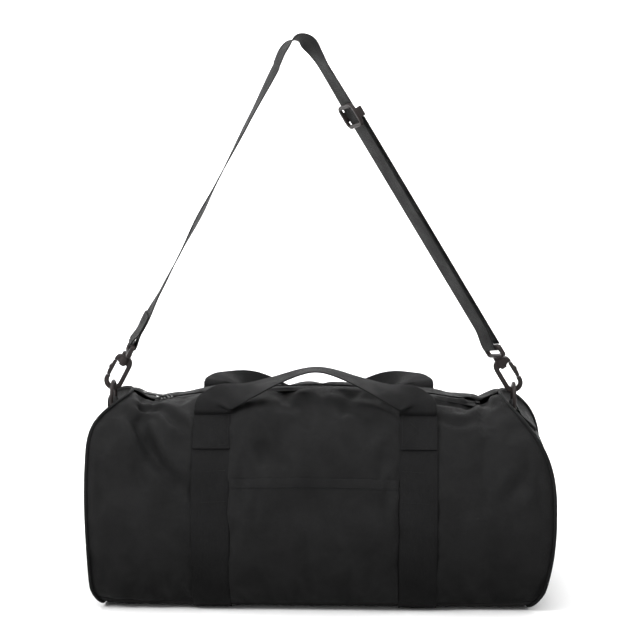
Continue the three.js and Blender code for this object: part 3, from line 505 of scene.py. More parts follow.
def sheet(name, grid, thick, look, subdivide=True):
    """A closed sheet of cloth. Its outer face is the grid, and it is thick on the inner side."""
    rows, columns = grid.shape[:2]
    inner = grid - grid_normals(grid) * thick
    flat = flat_places(grid).reshape(-1, 2)
    vertices = np.vstack([grid.reshape(-1, 3), inner.reshape(-1, 3)])
    below = rows * columns
    index, outer_faces = grid_faces(rows, columns)
    inner_faces = outer_faces[:, [0, 3, 2, 1]] + below
    edge = np.concatenate([index[0, :-1], index[:-1, -1], index[-1, :0:-1], index[:0:-1, 0]])
    following = np.roll(edge, -1)
    walls = np.stack([edge, following, following + below, edge + below], axis=1)
    faces = np.vstack([outer_faces, inner_faces, walls])
    piece = new_object(name, vertices, faces.tolist(), look, np.vstack([flat, flat]))
    if subdivide:
        piece.modifiers.new("finer", "SUBSURF").render_levels = 1
    return piece


def webbing_section(width, thick):
    """The webbing's section, with its woven edges rounded: across, out of the face."""
    half = thick / 2
    face = np.linspace(-width / 2 + half, width / 2 - half, 9)
    turn = np.linspace(-math.pi / 2, math.pi / 2, 5)[1:-1]
    right = [(width / 2 - half + half * math.cos(t), half * math.sin(t)) for t in turn]
    lower = [(x, -half) for x in face]
    upper = [(x, half) for x in face[::-1]]
    left = [(-x, -z) for x, z in right]
    return np.array(lower + right + upper + left)


def directions(places, closed):
    """The way a path runs at each of its places."""
    if closed:
        return units(np.roll(places, -1, axis=0) - np.roll(places, 1, axis=0))
    return units(np.gradient(places, axis=0))


def loft(name, places, along, across, section, flat_across, look, closed):
    """A section carried along places. Its rows are (along across, square to both), and flat_across
    is where each of its points lies when the surface is flat."""
    out = np.cross(along, across)
    count, ring = len(places), len(section)
    vertices = (
        places[:, None, :]
        + across[:, None, :] * section[None, :, :1]
        + out[:, None, :] * section[None, :, 1:]
    )
    far = lengths_along(places)
    flat = np.stack([np.tile(flat_across, (count, 1)), np.tile(far[:, None], (1, ring))], axis=2)
    index = np.arange(count * ring).reshape(count, ring)
    ahead = np.roll(index, -1, axis=0) if closed else index[1:]
    here = index if closed else index[:-1]
    faces = np.stack([here, np.roll(here, -1, axis=1), np.roll(ahead, -1, axis=1), ahead], axis=2)
    faces = faces.reshape(-1, 4).tolist()
    if not closed:
        faces += [index[0, ::-1].tolist(), index[-1].tolist()]
    return new_object(name, vertices.reshape(-1, 3), faces, look, flat.reshape(-1, 2))


def ribbon(name, places, across, width, thick, look, closed=False):
    """Webbing along places, with across pointing to one edge at each."""
    places = np.array(places, float)
    along = directions(places, closed)
    across = square_to(np.array(across, float), along)
    section = webbing_section(width, thick)
    return loft(name, places, along, across, section, section[:, 0], look, closed)


def cord_loop(name, path, radius, look, sides):
    """A round cord along a closed path."""
    along = directions(path, closed=True)
    outward = square_to(path - path.mean(axis=0), along)
    turn = np.arange(sides) * 2 * math.pi / sides
    section = radius * np.column_stack([np.cos(turn), np.sin(turn)])
    return loft(name, path, along, outward, section, radius * turn, look, closed=True)


STITCH_PITCH, STITCH_LENGTH, THREAD = 3.2 * MM, 2.3 * MM, 0.32 * MM


def stitches(name, runs, sides=6):
    """Sewn thread: each run is a list of (place, normal) along a seam, cut into single stitches.
    A stitch's ends dip into the cloth and its middle stands proud."""
    turns = np.arange(sides) * 2 * math.pi / sides
    vertices, faces = [], []
    for run in runs:
        places = np.array([p for p, _ in run])
        normals = np.array([n for _, n in run])
        far = lengths_along(places)
        for start in np.arange(0, far[-1] - STITCH_LENGTH, STITCH_PITCH):
            ends = (start, start + STITCH_LENGTH / 2, start + STITCH_LENGTH)
            a, middle, b = (interpolated(s, far, places) for s in ends)
            up = unit(interpolated(start, far, normals))
            beside = np.cross(unit(b - a), up)
            rings = [(a, -0.6, 0.35), (middle, 0.75, 1.0), (b, -0.6, 0.35)]
            first = len(vertices)
            for at, lift, size in rings:
                for turn in turns:
                    offset = beside * math.cos(turn) + up * (math.sin(turn) * 0.8)
                    vertices.append(at + up * lift * THREAD * 0.7 + offset * THREAD * size)
            add_ring_faces(faces, first, len(rings), sides)
    return new_object(name, vertices, faces, "thread")


def add_ring_faces(faces, first, rings, sides, inward=False):
    """The walls between rings of vertices numbered from first, and the caps on both ends."""
    last = first + (rings - 1) * sides
    new = []
    for ring in range(first, last, sides):
        for k in range(sides):
            p, q = ring + k, ring + (k + 1) % sides
            new.append((p, q, q + sides, p + sides))
    new.append(tuple(first + sides - 1 - k for k in range(sides)))
    new.append(tuple(last + k for k in range(sides)))
    faces += [face[::-1] for face in new] if inward else new


SHARP = math.radians(34)  # an edge that turns more than this stays an edge, with a small round


def refined(node, look, body, slot, bevel=0.35 * MM):
    """A finer copy of a hard CAD node: rounded edges and smooth curved faces."""
    source = frame["nodes"][node]
    mesh = source.data.copy()
    work = bmesh.new()
    work.from_mesh(mesh)
    bmesh.ops.remove_doubles(work, verts=work.verts, dist=1e-5)
    bmesh.ops.dissolve_limit(
        work, angle_limit=math.radians(1), verts=work.verts, edges=work.edges
    )
    for face in work.faces:
        face.smooth = True
    for edge in work.edges:
        edge.smooth = len(edge.link_faces) == 2 and edge.calc_face_angle() < SHARP
    work.to_mesh(mesh)
    work.free()
    mesh.materials.clear()
    mesh.materials.append(LOOKS[look])
    piece = bpy.data.objects.new(f"{node}_finished", mesh)
    link(piece)
    edge_round = piece.modifiers.new("rounded", "BEVEL")
    edge_round.width = bevel
    edge_round.segments = 2
    edge_round.limit_method = "ANGLE"
    edge_round.angle_limit = SHARP
    edge_round.harden_normals = True
    return finish_piece(piece, body, slot, node)


# ---- Camera, light and floor ----
PALE = (0.92, 0.92, 0.92)


def add_camera():
    """The camera stands a little above the bag, almost square to its front."""
    distance, elevation, yaw = 2.6, math.radians(11), math.radians(1.5)
    target = Vector((4 * MM, 0, (CAD_LOW[2] + CAD_HIGH[2]) / 2 - 8.5 * MM))
    back = Vector(
        (
            math.sin(yaw) * math.cos(elevation),
            -math.cos(yaw) * math.cos(elevation),
            math.sin(elevation),
        )
    )
    data = bpy.data.cameras.new("camera")
    data.sensor_width = 36
    data.lens = 109
    data.clip_end = 60
    camera = bpy.data.objects.new("camera", data)
    camera.location = target + back * distance
    camera.rotation_mode = "QUATERNION"
    camera.rotation_quaternion = (-back).to_track_quat("-Z", "Y")
    link(camera)
    bpy.context.scene.camera = camera


def add_light(name, place, target, size, watts):
    data = bpy.data.lights.new(name, "AREA")
    data.shape = "RECTANGLE"
    data.size, data.size_y = size
    data.energy = watts
    light = bpy.data.objects.new(name, data)
    light.location = place
    light.rotation_mode = "QUATERNION"
    light.rotation_quaternion = (Vector(target) - Vector(place)).to_track_quat("-Z", "Y")
    link(light)


def add_studio():
    bpy.context.scene.view_settings.view_transform = "Standard"
    world = bpy.data.worlds.new("studio")
    world.use_nodes = True
    background = world.node_tree.nodes["Background"]
    background.inputs["Color"].default_value = (1, 1, 1, 1)
    background.inputs["Strength"].default_value = 0.45
    bpy.context.scene.world = world
    add_light("overhead", (0.0, -0.3, 2.4), (0, 0.1, 0), (3.4, 2.6), 88)
    add_light("upper_left", (-2.3, -1.5, 2.1), (0, 0, 0.2), (0.9, 0.9), 62)
    add_light("backdrop_wash", (0.0, 0.6, 1.9), (0, 2.6, 0.9), (3.4, 0.6), 60)

    floor, tree, bsdf = shader("pale_floor", PALE, 0.9, 0.2)
    spread = object_places(tree)
    tinted(tree, bsdf, PALE, remap(tree, texture_noise(tree, spread, 3), 0.985, 1.0))
    LOOKS["floor"] = floor
    near, bend, turns = -4.5, 1.3, np.linspace(0, math.pi / 2, 16)
    profile = [(near, 0)] + [(bend + math.sin(t), 1 - math.cos(t)) for t in turns] + [(bend + 1, 4)]
    side = 4.5
    grid = np.array([[(x, y, z) for x in (side, 0, -side)] for y, z in profile])
    _, faces = grid_faces(*grid.shape[:2])
    sweep = new_object("floor_sweep", grid.reshape(-1, 3), faces, "floor")
    sweep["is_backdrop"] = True


# ---- The bag's cloth ----
CELL = 4.2 * MM


def column_places():
    """Columns of the cloth: x in the middle, and the share of the way out to the leaning ends."""
    middle = np.linspace(-BAND_OUT, BAND_OUT, int(2 * BAND_OUT / CELL) + 1)
    outer = np.linspace(0, 1, int((LEFT.half - BAND_OUT) / CELL) + 1)[1:]
    return middle, outer


def seam_x(end, share):
    """Where an end's seam crosses a line along the bag."""
    return end_x(end, skin(-1, end.sign * end.ear, share)[2])


def shell_rows(side, shares):
    """The skin's points at these shares, one row for each, from the left end to the right."""
    middle, outer = column_places()
    grid = []
    samples = np.linspace(-LEFT.half, RIGHT.half, 121)
    surface = np.array([[skin(side, x, share) for share in shares] for x in samples])
    for i, share in enumerate(shares):
        left, right = (BAND_OUT + outer * (seam_x(end, share) - BAND_OUT) for end in ENDS)
        xs = np.concatenate([-left[::-1], middle, right])
        row = np.stack(
            [xs, np.interp(xs, samples, surface[:, i, 1]), np.interp(xs, samples, surface[:, i, 2])],
            axis=1,
        )
        grid.append(row)
    return np.array(grid)


def cloth_shares():
    under = np.linspace(0, BASE_SHARE, int(BASE_SHARE * HALF_GIRTH / CELL) + 1)
    side = np.linspace(
        BASE_SHARE, MOUTH_SHARE, int((MOUTH_SHARE - BASE_SHARE) * HALF_GIRTH / CELL) + 1
    )
    return under, side


def whole_shell():
    """The long panels as one grid, from the front edge of the mouth round the base to the back
    edge, and the row numbers where the base's seams are."""
    under, side = cloth_shares()
    shares = np.concatenate([under, side[1:]])
    front = shell_rows(-1, shares)[::-1]
    back = shell_rows(1, shares)[1:]
    return np.vstack([front, back]), len(side) - 1, len(side) - 1 + 2 * (len(under) - 1)


CLOTH_FRAMES = 20
CLOTH_STRETCH = 0.018  # how much larger than its shell the cloth wants to be
CLOTH_REACH = 9 * MM  # the furthest that it may move
CLOTH_SETTINGS = {
    "quality": 6,
    "mass": 0.3,
    "tension_stiffness": 25,
    "compression_stiffness": 25,
    "shear_stiffness": 8,
    "bending_stiffness": 6,
    "tension_damping": 12,
    "compression_damping": 12,
    "shear_damping": 12,
    "bending_damping": 1,
    "air_damping": 4,
    "use_pressure": True,
    "uniform_pressure_force": 5,
    "shrink_min": -CLOTH_STRETCH,
    "vertex_group_mass": "held",
    "pin_stiffness": 1,
}


def inflate(grid, pinned):
    """Cloth simulation of a grid under light pressure, held where pinned is 1."""
    _, faces = grid_faces(*grid.shape[:2])
    uneven = np.array([[wobble(p, 45 * MM, 3) * 1.2 * MM for p in row] for row in grid])
    start = grid + uneven[:, :, None] * grid_normals(grid)
    start = np.where(pinned[:, :, None] > 0.99, grid, start)
    piece = new_object("cloth_at_work", start.reshape(-1, 3), faces.tolist(), "cloth")
    group = piece.vertex_groups.new(name="held")
    for weight in np.unique(pinned[pinned > 0]):
        group.add(np.flatnonzero(pinned.ravel() == weight).tolist(), float(weight), "ADD")
    modifier = piece.modifiers.new("cloth", "CLOTH")
    for name, value in CLOTH_SETTINGS.items():
        setattr(modifier.settings, name, value)
    modifier.settings.effector_weights.gravity = 0
    modifier.collision_settings.use_collision = False
    modifier.point_cache.frame_start, modifier.point_cache.frame_end = 1, CLOTH_FRAMES
    scene = bpy.context.scene
    for number in range(1, CLOTH_FRAMES + 1):
        scene.frame_set(number)
    evaluated = piece.evaluated_get(bpy.context.evaluated_depsgraph_get())
    moved = np.zeros(grid.size)
    evaluated.data.vertices.foreach_get("co", moved)
    bpy.data.objects.remove(piece)
    scene.frame_set(1)
    moved = moved.reshape(grid.shape) - grid
    length = np.linalg.norm(moved, axis=2, keepdims=True)
    return grid + moved * np.minimum(1, CLOTH_REACH / np.maximum(length, 1e-9))


@dataclass
class Fold:
    """A crease in the cloth, with a roll of cloth standing proud beside it. Lengths in mm."""

    side: int
    path: tuple  # the places it runs through, as (x, z)
    depth: float
    width: float
    roll: float


FOLDS = [
    # From the left end's top corner down towards the left band.
    Fold(FRONT, ((-246, 250), (-226, 226), (-201, 195), (-164, 163)), 7.5, 8, 3.5),
    Fold(FRONT, ((-243, 256), (-208, 249), (-180, 240), (-161, 229)), 4.5, 6, 2.5),
    Fold(FRONT, ((-238, 264), (-232, 249), (-230, 236)), 4.5, 5, 2.0),
    # Between the bands, under the front handle.
    Fold(FRONT, ((-107, 251), (-86, 236), (-62, 213), (-35, 189)), 4.5, 9, 2.5),
    Fold(FRONT, ((30, 262), (70, 250), (105, 232)), 4.0, 10, 2.0),
    # From the right band and along the crest to the right end.
    Fold(FRONT, ((162, 246), (190, 240), (212, 243)), 3.0, 6, 1.5),
    Fold(FRONT, ((194, 250), (216, 254), (236, 256)), 5.0, 6, 2.5),
    Fold(FRONT, ((105, 266), (150, 262), (190, 257), (212, 254)), 5.0, 9, 1.0),
    Fold(FRONT, ((286, 196), (262, 170), (236, 150)), 3.0, 10, 1.5),
    # The same slackness on the back.
    Fold(BACK, ((-245, 252), (-215, 225), (-180, 200)), 3.5, 7, 1.5),
    Fold(BACK, ((246, 250), (216, 228), (175, 205)), 3.5, 7, 1.5),
    Fold(BACK, ((-100, 220), (-50, 190), (20, 176)), 2.2, 9, 1.0),
]


def polyline_distance(points, path):
    """Distance of each point from a path, and the share of the path where it is nearest."""
    best = np.full(len(points), 1e9)
    share = np.zeros(len(points))
    for i in range(len(path) - 1):
        a, b = path[i], path[i + 1]
        t = np.clip((points - a) @ (b - a) / ((b - a) @ (b - a)), 0, 1)
        distance = np.linalg.norm(points - a - t[:, None] * (b - a), axis=1)
        nearer = distance < best
        best[nearer] = distance[nearer]
        share[nearer] = ((i + t) / (len(path) - 1))[nearer]
    return best, share


FOLD_DEPTH = 1.25  # all the creases together, against the depths above
BROAD_RUMPLE, FINE_RUMPLE = 3.6, 1.6  # mm


def press_folds(grid, held):
    """Rumples the cloth where nothing holds it, and presses the creases into it."""
    points = grid.reshape(-1, 3)
    normals = grid_normals(grid).reshape(-1, 3)
    rumple = [
        BROAD_RUMPLE * wobble(p, 75 * MM, 2) + FINE_RUMPLE * wobble(p, 32 * MM, 7) for p in points
    ]
    points = points + normals * (np.array(rumple) * MM * (1 - held.ravel()))[:, None]
    for fold in FOLDS:
        path = [skin(fold.side, x * MM, share_at(z * MM, x * MM)) for x, z in fold.path]
        distance, share = polyline_distance(points, spline(path, 24))
        width = fold.width * MM
        fade = np.sin(math.pi * np.clip(share * 0.92 + 0.04, 0, 1)) ** 0.6
        valley = -FOLD_DEPTH * fold.depth * MM * np.exp(-((distance / width) ** 2))
        ridge = FOLD_DEPTH * fold.roll * MM * np.exp(-((distance / width - 2.1) ** 2))
        points = points + normals * ((valley + ridge) * fade)[:, None]
    return points.reshape(grid.shape)


def held_places(grid, top, bottom):
    """1 where webbing, piping or a seam holds the cloth, and softer beside it."""
    x = np.abs(grid[:, :, 0])
    in_band = (x > BAND_IN + 3 * MM) & (x < BAND_OUT - 3 * MM)
    under_band = in_band & (grid[:, :, 2] < HANDLE_Z)
    held = np.where(under_band, 1.0, 0.0)
    held[top : bottom + 1] = 1
    held[0] = held[-1] = 1
    held[:, 0] = held[:, -1] = 1
    held[1] = np.maximum(held[1], 0.5)
    held[-2] = np.maximum(held[-2], 0.5)
    return held


def end_rim(end):
    """The seam of an end panel, as a closed loop."""
    under, side = cloth_shares()
    shares = np.concatenate([under, side[1:], [1.0]])
    reach = [end.sign * seam_x(end, share) for share in shares]
    front = [skin(-1, x, share) for x, share in zip(reach, shares)]
    back = [skin(1, x, share) for x, share in zip(reach, shares)]
    return np.array(front + back[-2:0:-1])


def end_dome(end, rings=30):
    """An end panel as a grid: rings shrink from the seam to the middle."""
    rim = end_rim(end)
    grid = np.array([dome_ring(end, rim, share) for share in np.linspace(1, 1e-4, rings)])
    return grid if end.sign > 0 else grid[:, ::-1]


def dome_ring(end, rim, share):
    """The points of an end panel at a share of the way from its middle to its rim."""
    ring = rim.copy()
    ring[:, 1] *= share
    ring[:, 2] = END_MIDDLE_Z + (ring[:, 2] - END_MIDDLE_Z) * share
    lean = end_x(end, ring[:, 2]) * (1 - share**4) + np.abs(rim[:, 0]) * share**4
    ring[:, 0] = end.sign * (lean + end.bulge * (1 - share**2) ** 1.6)
    return ring


def add_bag_cloth():
    grid, front_seam, back_seam = whole_shell()
    held = held_places(grid, front_seam, back_seam)
    grid = inflate(grid, held)
    grid = press_folds(grid, held)
    panels = {
        "front": grid[: front_seam + 1],
        "base": grid[front_seam : back_seam + 1],
        "back": grid[back_seam:],
    }
    for name, part in panels.items():
        piece = sheet(f"{name}_cloth", part, CLOTH, "cloth")
        finish_piece(piece, "bag", "cloth", f"{name}_panel")
    return panels


def add_ends():
    for end in ENDS:
        grid = end_dome(end)
        closed = np.concatenate([grid, grid[:, :1]], axis=1)
        normals = grid_normals(closed)
        seed = end.sign
        uneven = np.array([[wobble(p, 70 * MM, 5 + seed) for p in row] for row in closed])
        fine = np.array([[wobble(p, 28 * MM, 9 + seed) for p in row] for row in closed])
        inside = 1 - (1 - np.linspace(0, 1, len(closed)))[:, None] ** 4
        points = closed + normals * ((3.2 * uneven + 1.1 * fine) * MM * inside)[:, :, None]
        points[:, -1] = points[:, 0]
        piece = sheet(f"{end.name}_end_cloth", points, CLOTH, "cloth")
        merge_seam(piece)
        finish_piece(piece, "bag", "cloth", f"{end.name}_end_panel")


def merge_seam(piece):
    """Joins the two edges of a sheet that has been rolled round to itself."""
    work = bmesh.new()
    work.from_mesh(piece.data)
    bmesh.ops.remove_doubles(work, verts=work.verts, dist=0.02 * MM)
    bmesh.ops.holes_fill(work, edges=[e for e in work.edges if e.is_boundary], sides=0)
    work.to_mesh(piece.data)
    work.free()


PIPING_CORD, BINDING_CORD = 2.2 * MM, 1.5 * MM  # radii


def add_piping():
    for end in ENDS:
        rim = end_rim(end)
        outward = rim - np.array([0, 0, END_MIDDLE_Z])
        outward[:, 0] = 0
        outward = units(outward)
        path = rim + outward * 1.0 * MM + np.array([end.sign * 0.6 * MM, 0, 0])
        piping = cord_loop(f"{end.name}_piping_cord", path, PIPING_CORD, "cloth", 10)
        finish_piece(piping, "bag", "cloth", f"{end.name}_piping")
        inner = rim - outward * 5.5 * MM - np.array([end.sign * 2.2 * MM, 0, 0])
        binding = cord_loop(f"{end.name}_binding", inner, BINDING_CORD, "lining", 8)
        finish_piece(binding, "bag", "lining", f"{end.name}_seam_binding")


HEM_DEPTH = 16 * MM
HEM_OFF, HEM_CLOTH = 0.35 * MM, 0.3 * MM
POCKET_OFF, POCKET_CLOTH = 1.5 * MM, 0.9 * MM
POCKET_SAG = 1.8 * MM  # of its mouth's middle


def add_pocket(front):
    """The slip pocket between the bands: its cloth, and the hem folded over its mouth."""
    _, side = cloth_shares()
    shares = side[::-1]
    columns = np.abs(front[0, :, 0]) < BAND_IN - 0.5 * MM
    part = (front + grid_normals(front) * POCKET_OFF)[shares <= POCKET_SHARE][:, columns]
    across = np.linspace(-1, 1, part.shape[1])
    down = np.linspace(1, 0, len(part))[:, None]
    part[:, :, 2] -= POCKET_SAG * (1 - across**2) * down**2
    piece = sheet("pocket_cloth", part, POCKET_CLOTH, "pocket")
    finish_piece(piece, "bag", "cloth", "front_pocket_panel")
    hem_share = share_at(POCKET_TOP_Z - HEM_DEPTH, 0)
    rows = np.count_nonzero((shares <= POCKET_SHARE) & (shares >= hem_share))
    hem = part[:rows] + grid_normals(part)[:rows] * HEM_OFF
    piece = sheet("pocket_hem_fold", hem, HEM_CLOTH, "pocket")
    finish_piece(piece, "bag", "cloth", "front_pocket_hem")
    run = list(zip(hem[-1], grid_normals(hem)[-1]))
    finish_piece(stitches("pocket_hem_stitches", [run]), "bag", "cloth")


# ---- Carry webbing ----
def band_run(end):
    """The middle line of a band, from its front top under the bag to its back top."""
    lift = WEBBING / 2 + 0.35 * MM
    shares = np.concatenate([np.linspace(HANDLE_SHARE, 0, 70), np.linspace(0, HANDLE_SHARE, 70)[1:]])
    sides = [-1] * 70 + [1] * 69
    return np.array([skin(s, end * BAND_X, share, lift) for s, share in zip(sides, shares)])


def add_bands():
    for end in ENDS:
        path = band_run(end.sign)
        across = [(1, 0, 0)] * len(path)
        piece = ribbon(f"{end.name}_band_webbing", path, across, BAND_WIDTH, WEBBING, "webbing")
        nodes = [f"{side}_{end.name}_band" for side in ("front", "base", "back")]
        finish_piece(piece, "bag", "webbing", *nodes)


SEWN_LENGTH = 54 * MM  # the handle's webbing is sewn to its band over this length
TACKS_DOWN = (84 * MM, 124 * MM)  # rows of tacks, down the band from the handle's fold


def sewn_start(side, end, count=12):
    """The handle's webbing where it lies on its band, up to the fold line."""
    lift = 1.5 * WEBBING + 0.5 * MM
    shares = np.linspace(HANDLE_SHARE - SEWN_LENGTH / HALF_GIRTH, HANDLE_SHARE, count)
    return [skin(side, end * BAND_X, share, lift) for share in shares]


def handle(side, name, controls):
    """A handle: sewn ends on both bands, and the loop between them through the controls, which
    are (place, across) from the left band to the middle."""
    flip = np.array([-1.0, 1, 1])
    places = [p for p, _ in controls]
    edges = [np.array(a, float) for _, a in controls]
    sewn = sewn_start(side, -1)
    places = sewn + places + [p * flip for p in places[-2::-1]] + [p * flip for p in sewn[::-1]]
    start = [edges[0]] * len(sewn)
    mirrored = [a * flip for a in edges[-2::-1]]
    turned = start + edges + mirrored + [edges[0] * flip] * len(sewn)
    path = spline(places, 190)
    across = spline(turned, 190)
    piece = ribbon(f"{name}_handle_webbing", path, across, BAND_WIDTH - 0.6 * MM, WEBBING, "webbing")
    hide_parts(f"{name}_handle")
    return piece


def add_handles():
    y, z = HANDLE_PIVOT[1], HANDLE_PIVOT[2]

    def place(x, out, up):
        return np.array([x, y + out * MM, z + up * MM])

    front = [
        (place(-BAND_X, 0.5, 1.5), (1, 0, 0)),
        (place(-BAND_X + 2 * MM, 6, 11), (1, -0.1, 0)),
        (place(-BAND_X + 16 * MM, 16, 17), (0.75, -0.6, -0.4)),
        (place(-90 * MM, 27, 23), (0.35, -0.9, -0.15)),
        (place(-55 * MM, 38, 34), (0.12, -1, 0)),
        (place(-22 * MM, 46, 44), (0.04, -1, 0.06)),
        (place(0, 48, 47), (0, -1, 0.08)),
    ]
    piece = handle(-1, "front", front)
    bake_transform(piece)

    def lying(x, radius, degrees):
        turn = math.radians(degrees)
        return np.array([x, -y + radius * MM * math.cos(turn), z + radius * MM * math.sin(turn)])

    back = [
        (lying(-BAND_X, 1, 40), (1, 0, 0)),
        (lying(-BAND_X + 1 * MM, 9, 38), (1, 0, 0)),
        (lying(-BAND_X + 14 * MM, 22.5, 15), (0.8, -0.4, -0.3)),
        (lying(-93 * MM, 42.5, -14), (0.4, -0.25, -0.88)),
        (lying(-56 * MM, 62, -31), (0.1, 0.02, -1)),
        (lying(-22 * MM, 71, -37), (0.03, 0.08, -1)),
        (lying(0, 73, -38.5), (0, 0.08, -1)),
    ]
    piece = handle(1, "back", back)
    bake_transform(piece)


def surface_run(side, end, corners, lift, count=16):
    """Points and normals over a band's face, through corners given as (across, length down)."""
    run = []
    for (u0, v0), (u1, v1) in zip(corners[:-1], corners[1:]):
        for t in np.linspace(0, 1, count):
            u, v = u0 + (u1 - u0) * t, v0 + (v1 - v0) * t
            share = HANDLE_SHARE - v / HALF_GIRTH
            at = skin(side, end * BAND_X + u, share, lift)
            over = skin(side, end * BAND_X + u, share, lift + MM)
            run.append((at, unit(over - at)))
    return run


def add_band_stitches():
    """A box with a cross holds each handle's end, and rows of tacks run further down the band."""
    for side, side_name in SIDES:
        for end in ENDS:
            half, top, bottom = BAND_WIDTH / 2 - 4 * MM, 3 * MM, SEWN_LENGTH - 4 * MM
            lift = 2 * WEBBING + 0.6 * MM
            box = [(-half, top), (half, top), (half, bottom), (-half, bottom), (-half, top)]
            cross = [[(-half, top), (half, bottom)], [(half, top), (-half, bottom)]]
            runs = [surface_run(side, end.sign, line, lift) for line in (box, *cross)]
            low_lift = WEBBING + 0.5 * MM
            for down in TACKS_DOWN:
                row = [(-half, down), (half, down)]
                runs.append(surface_run(side, end.sign, row, low_lift))
            name = f"{side_name}_{end.name}_box_stitches"
            finish_piece(stitches(name, runs), "bag", "webbing")


# ---- Zip ----
TAPE_DROP, TAPE_CURVE = 2.1 * MM, 2.8  # under the arch, and the fall away from its middle
GUSSET_DROP, GUSSET_CURVE = 4.2 * MM, 18
COIL_PITCH, COIL_WIRE = 2.1 * MM, 0.42 * MM
COIL_MIDDLE, COIL_HALF_WIDE, COIL_HALF_HIGH = 1.45 * MM, 1.65 * MM, 1.05 * MM


def along_zip(x, y, drop):
    """A point beside the zip: drop is below the arch."""
    return np.array([x, y, zip_z(x) - drop])


def add_zip():
    xs = np.linspace(-MOUTH_X + 3 * MM, MOUTH_X - 3 * MM, 110)
    tape_out = high("back_zip_tape")[1]
    for side, name in SIDES:
        ys = np.linspace(1.2 * MM, tape_out, 7)
        drops = [TAPE_DROP + TAPE_CURVE * y * y for y in ys]
        grid = np.array([[along_zip(x, side * y, d) for y, d in zip(ys, drops)] for x in xs])
        if side < 0:
            grid = grid[:, ::-1]
        piece = sheet(f"{name}_zip_tape_cloth", grid, 0.8 * MM, "tape", subdivide=False)
        finish_piece(piece, "bag", "webbing", f"{name}_zip_tape")
        finish_piece(coil(side, name), "bag", "plastic", f"{name}_zip_coil")


def coil(side, name):
    """One side of the zip's coil: a row of small hooks that mesh with the other side's."""
    vertices, faces = [], []
    sides, turns = 6, 9
    starts = np.arange(-MOUTH_X + 5 * MM, MOUTH_X - 5 * MM, COIL_PITCH)
    for x0 in starts + (COIL_PITCH / 2 if side > 0 else 0):
        tilt = x0 / ZIP_RADIUS
        first = len(vertices)
        for t in np.linspace(-0.75 * math.pi, 0.75 * math.pi, turns):
            reach = COIL_MIDDLE - COIL_HALF_WIDE * math.cos(t)
            rise = COIL_HALF_HIGH * math.sin(t)
            centre = along_zip(x0, side * (reach + 0.25 * MM), 2.4 * MM) + np.array([0, 0, rise])
            outward = np.array([0, -side * math.cos(t), math.sin(t)])
            for k in range(sides):
                turn = 2 * math.pi * k / sides
                ring = outward * math.cos(turn) + np.array([math.cos(tilt), 0, 0]) * math.sin(turn)
                vertices.append(centre + ring * COIL_WIRE)
        add_ring_faces(faces, first, turns, sides, inward=side < 0)
    return new_object(f"{name}_coil_teeth", vertices, faces, "coil")


def add_zip_ends():
    for end in ENDS:
        xs = np.linspace(MOUTH_X - 4 * MM, end.ear - 2 * MM, 9) * end.sign
        ys = np.linspace(-14 * MM, 14 * MM, 7) * end.sign
        grid = np.array([[(x, y, top_z(x) - GUSSET_DROP) for y in ys] for x in xs])
        grid[:, :, 2] -= GUSSET_CURVE * (grid[:, :, 1] ** 2)
        piece = sheet(f"{end.name}_gusset_cloth", grid, 1.2 * MM, "cloth", subdivide=False)
        finish_piece(piece, "bag", "cloth", f"{end.name}_zip_gusset")
        x = MOUTH_X - 1 * MM
        us = np.linspace(-3 * MM, 3 * MM, 5)
        vs = np.linspace(-6 * MM, 6 * MM, 9)
        tab = np.array(
            [[along_zip(end.sign * (x + u), end.sign * v, 0.2 * MM) for v in vs] for u in us]
        )
        tab[:, :, 2] += 0.4 * MM * np.cos(np.linspace(-1.5, 1.5, 9))[None, :]
        piece = sheet(f"{end.name}_zip_tab_webbing", tab, 1.2 * MM, "tape", subdivide=False)
        finish_piece(piece, "bag", "webbing", f"{end.name}_zip_end_tab")


def add_mouth_stitches(front, back):
    for name, grid, row in (("front", front, 1), ("back", back, -2)):
        normals = grid_normals(grid)
        inside = np.abs(grid[row, :, 0]) < MOUTH_X
        run = [(grid[row, k], normals[row, k]) for k in np.flatnonzero(inside)]
        finish_piece(stitches(f"{name}_mouth_stitches", [run]), "bag", "cloth")


# ---- Shoulder strap ----
def ring_point(end):
    return np.array([end * end_of(end).ring_x, 0, RING_TOP_Z])


def on_strap(end, far):
    """The middle of one side of the strap, this far from its ring."""
    return ring_point(end) + ALONG[end] * far


def knee_from_ring(end):
    return (KNEE_Z - RING_TOP_Z) / ALONG[end][2]


def across_at(travel, twist):
    """Direction from the webbing's back edge to its front edge, at a twist in degrees."""
    outward = np.array([-travel[2], 0, travel[0]])
    turn = math.radians(twist)
    return np.array([0, -math.cos(turn), 0]) + outward * math.sin(turn)


# The webbing's twist by height, in mm and degrees: positive shows the inner face to the front.
LEFT_TWIST = [(330, -8), (365, -13), (405, -4), (455, 0), (505, 7), (552, 0), (632, -7), (703, -15)]
RIGHT_TWIST = [(330, 25), (640, 25), (703, 22)]
TWISTS = {-1: LEFT_TWIST, 1: RIGHT_TWIST}
# Over the top, as (x, height, twist) in mm and degrees.
APEX = [(-45.5, 722, -15), (-36, 733.5, -8), (-23.5, 739.5, 20), (-11, 733, 36), (-0.5, 719, 28)]


def twist_at(table, z):
    heights = np.array([h * MM for h, _ in table])
    twists = [t for _, t in table]
    here = int(np.clip(np.searchsorted(heights, z) - 1, 0, len(table) - 2))
    share = smooth((z - heights[here]) / (heights[here + 1] - heights[here]))
    return float(twists[here] + (twists[here + 1] - twists[here]) * share)


def span(end, face, start, stop, count, off):
    """Places and across vectors on one side of the strap; off(far) is its distance off the line."""
    travel = -end * ALONG[end]
    places, turned = [], []
    for far in np.linspace(start, stop, count):
        at = on_strap(end, far)
        across = across_at(travel, twist_at(TWISTS[end], at[2]))
        outward = -np.cross(travel, across)
        places.append(at + outward * face * off(far))
        turned.append(across)
    return places, turned


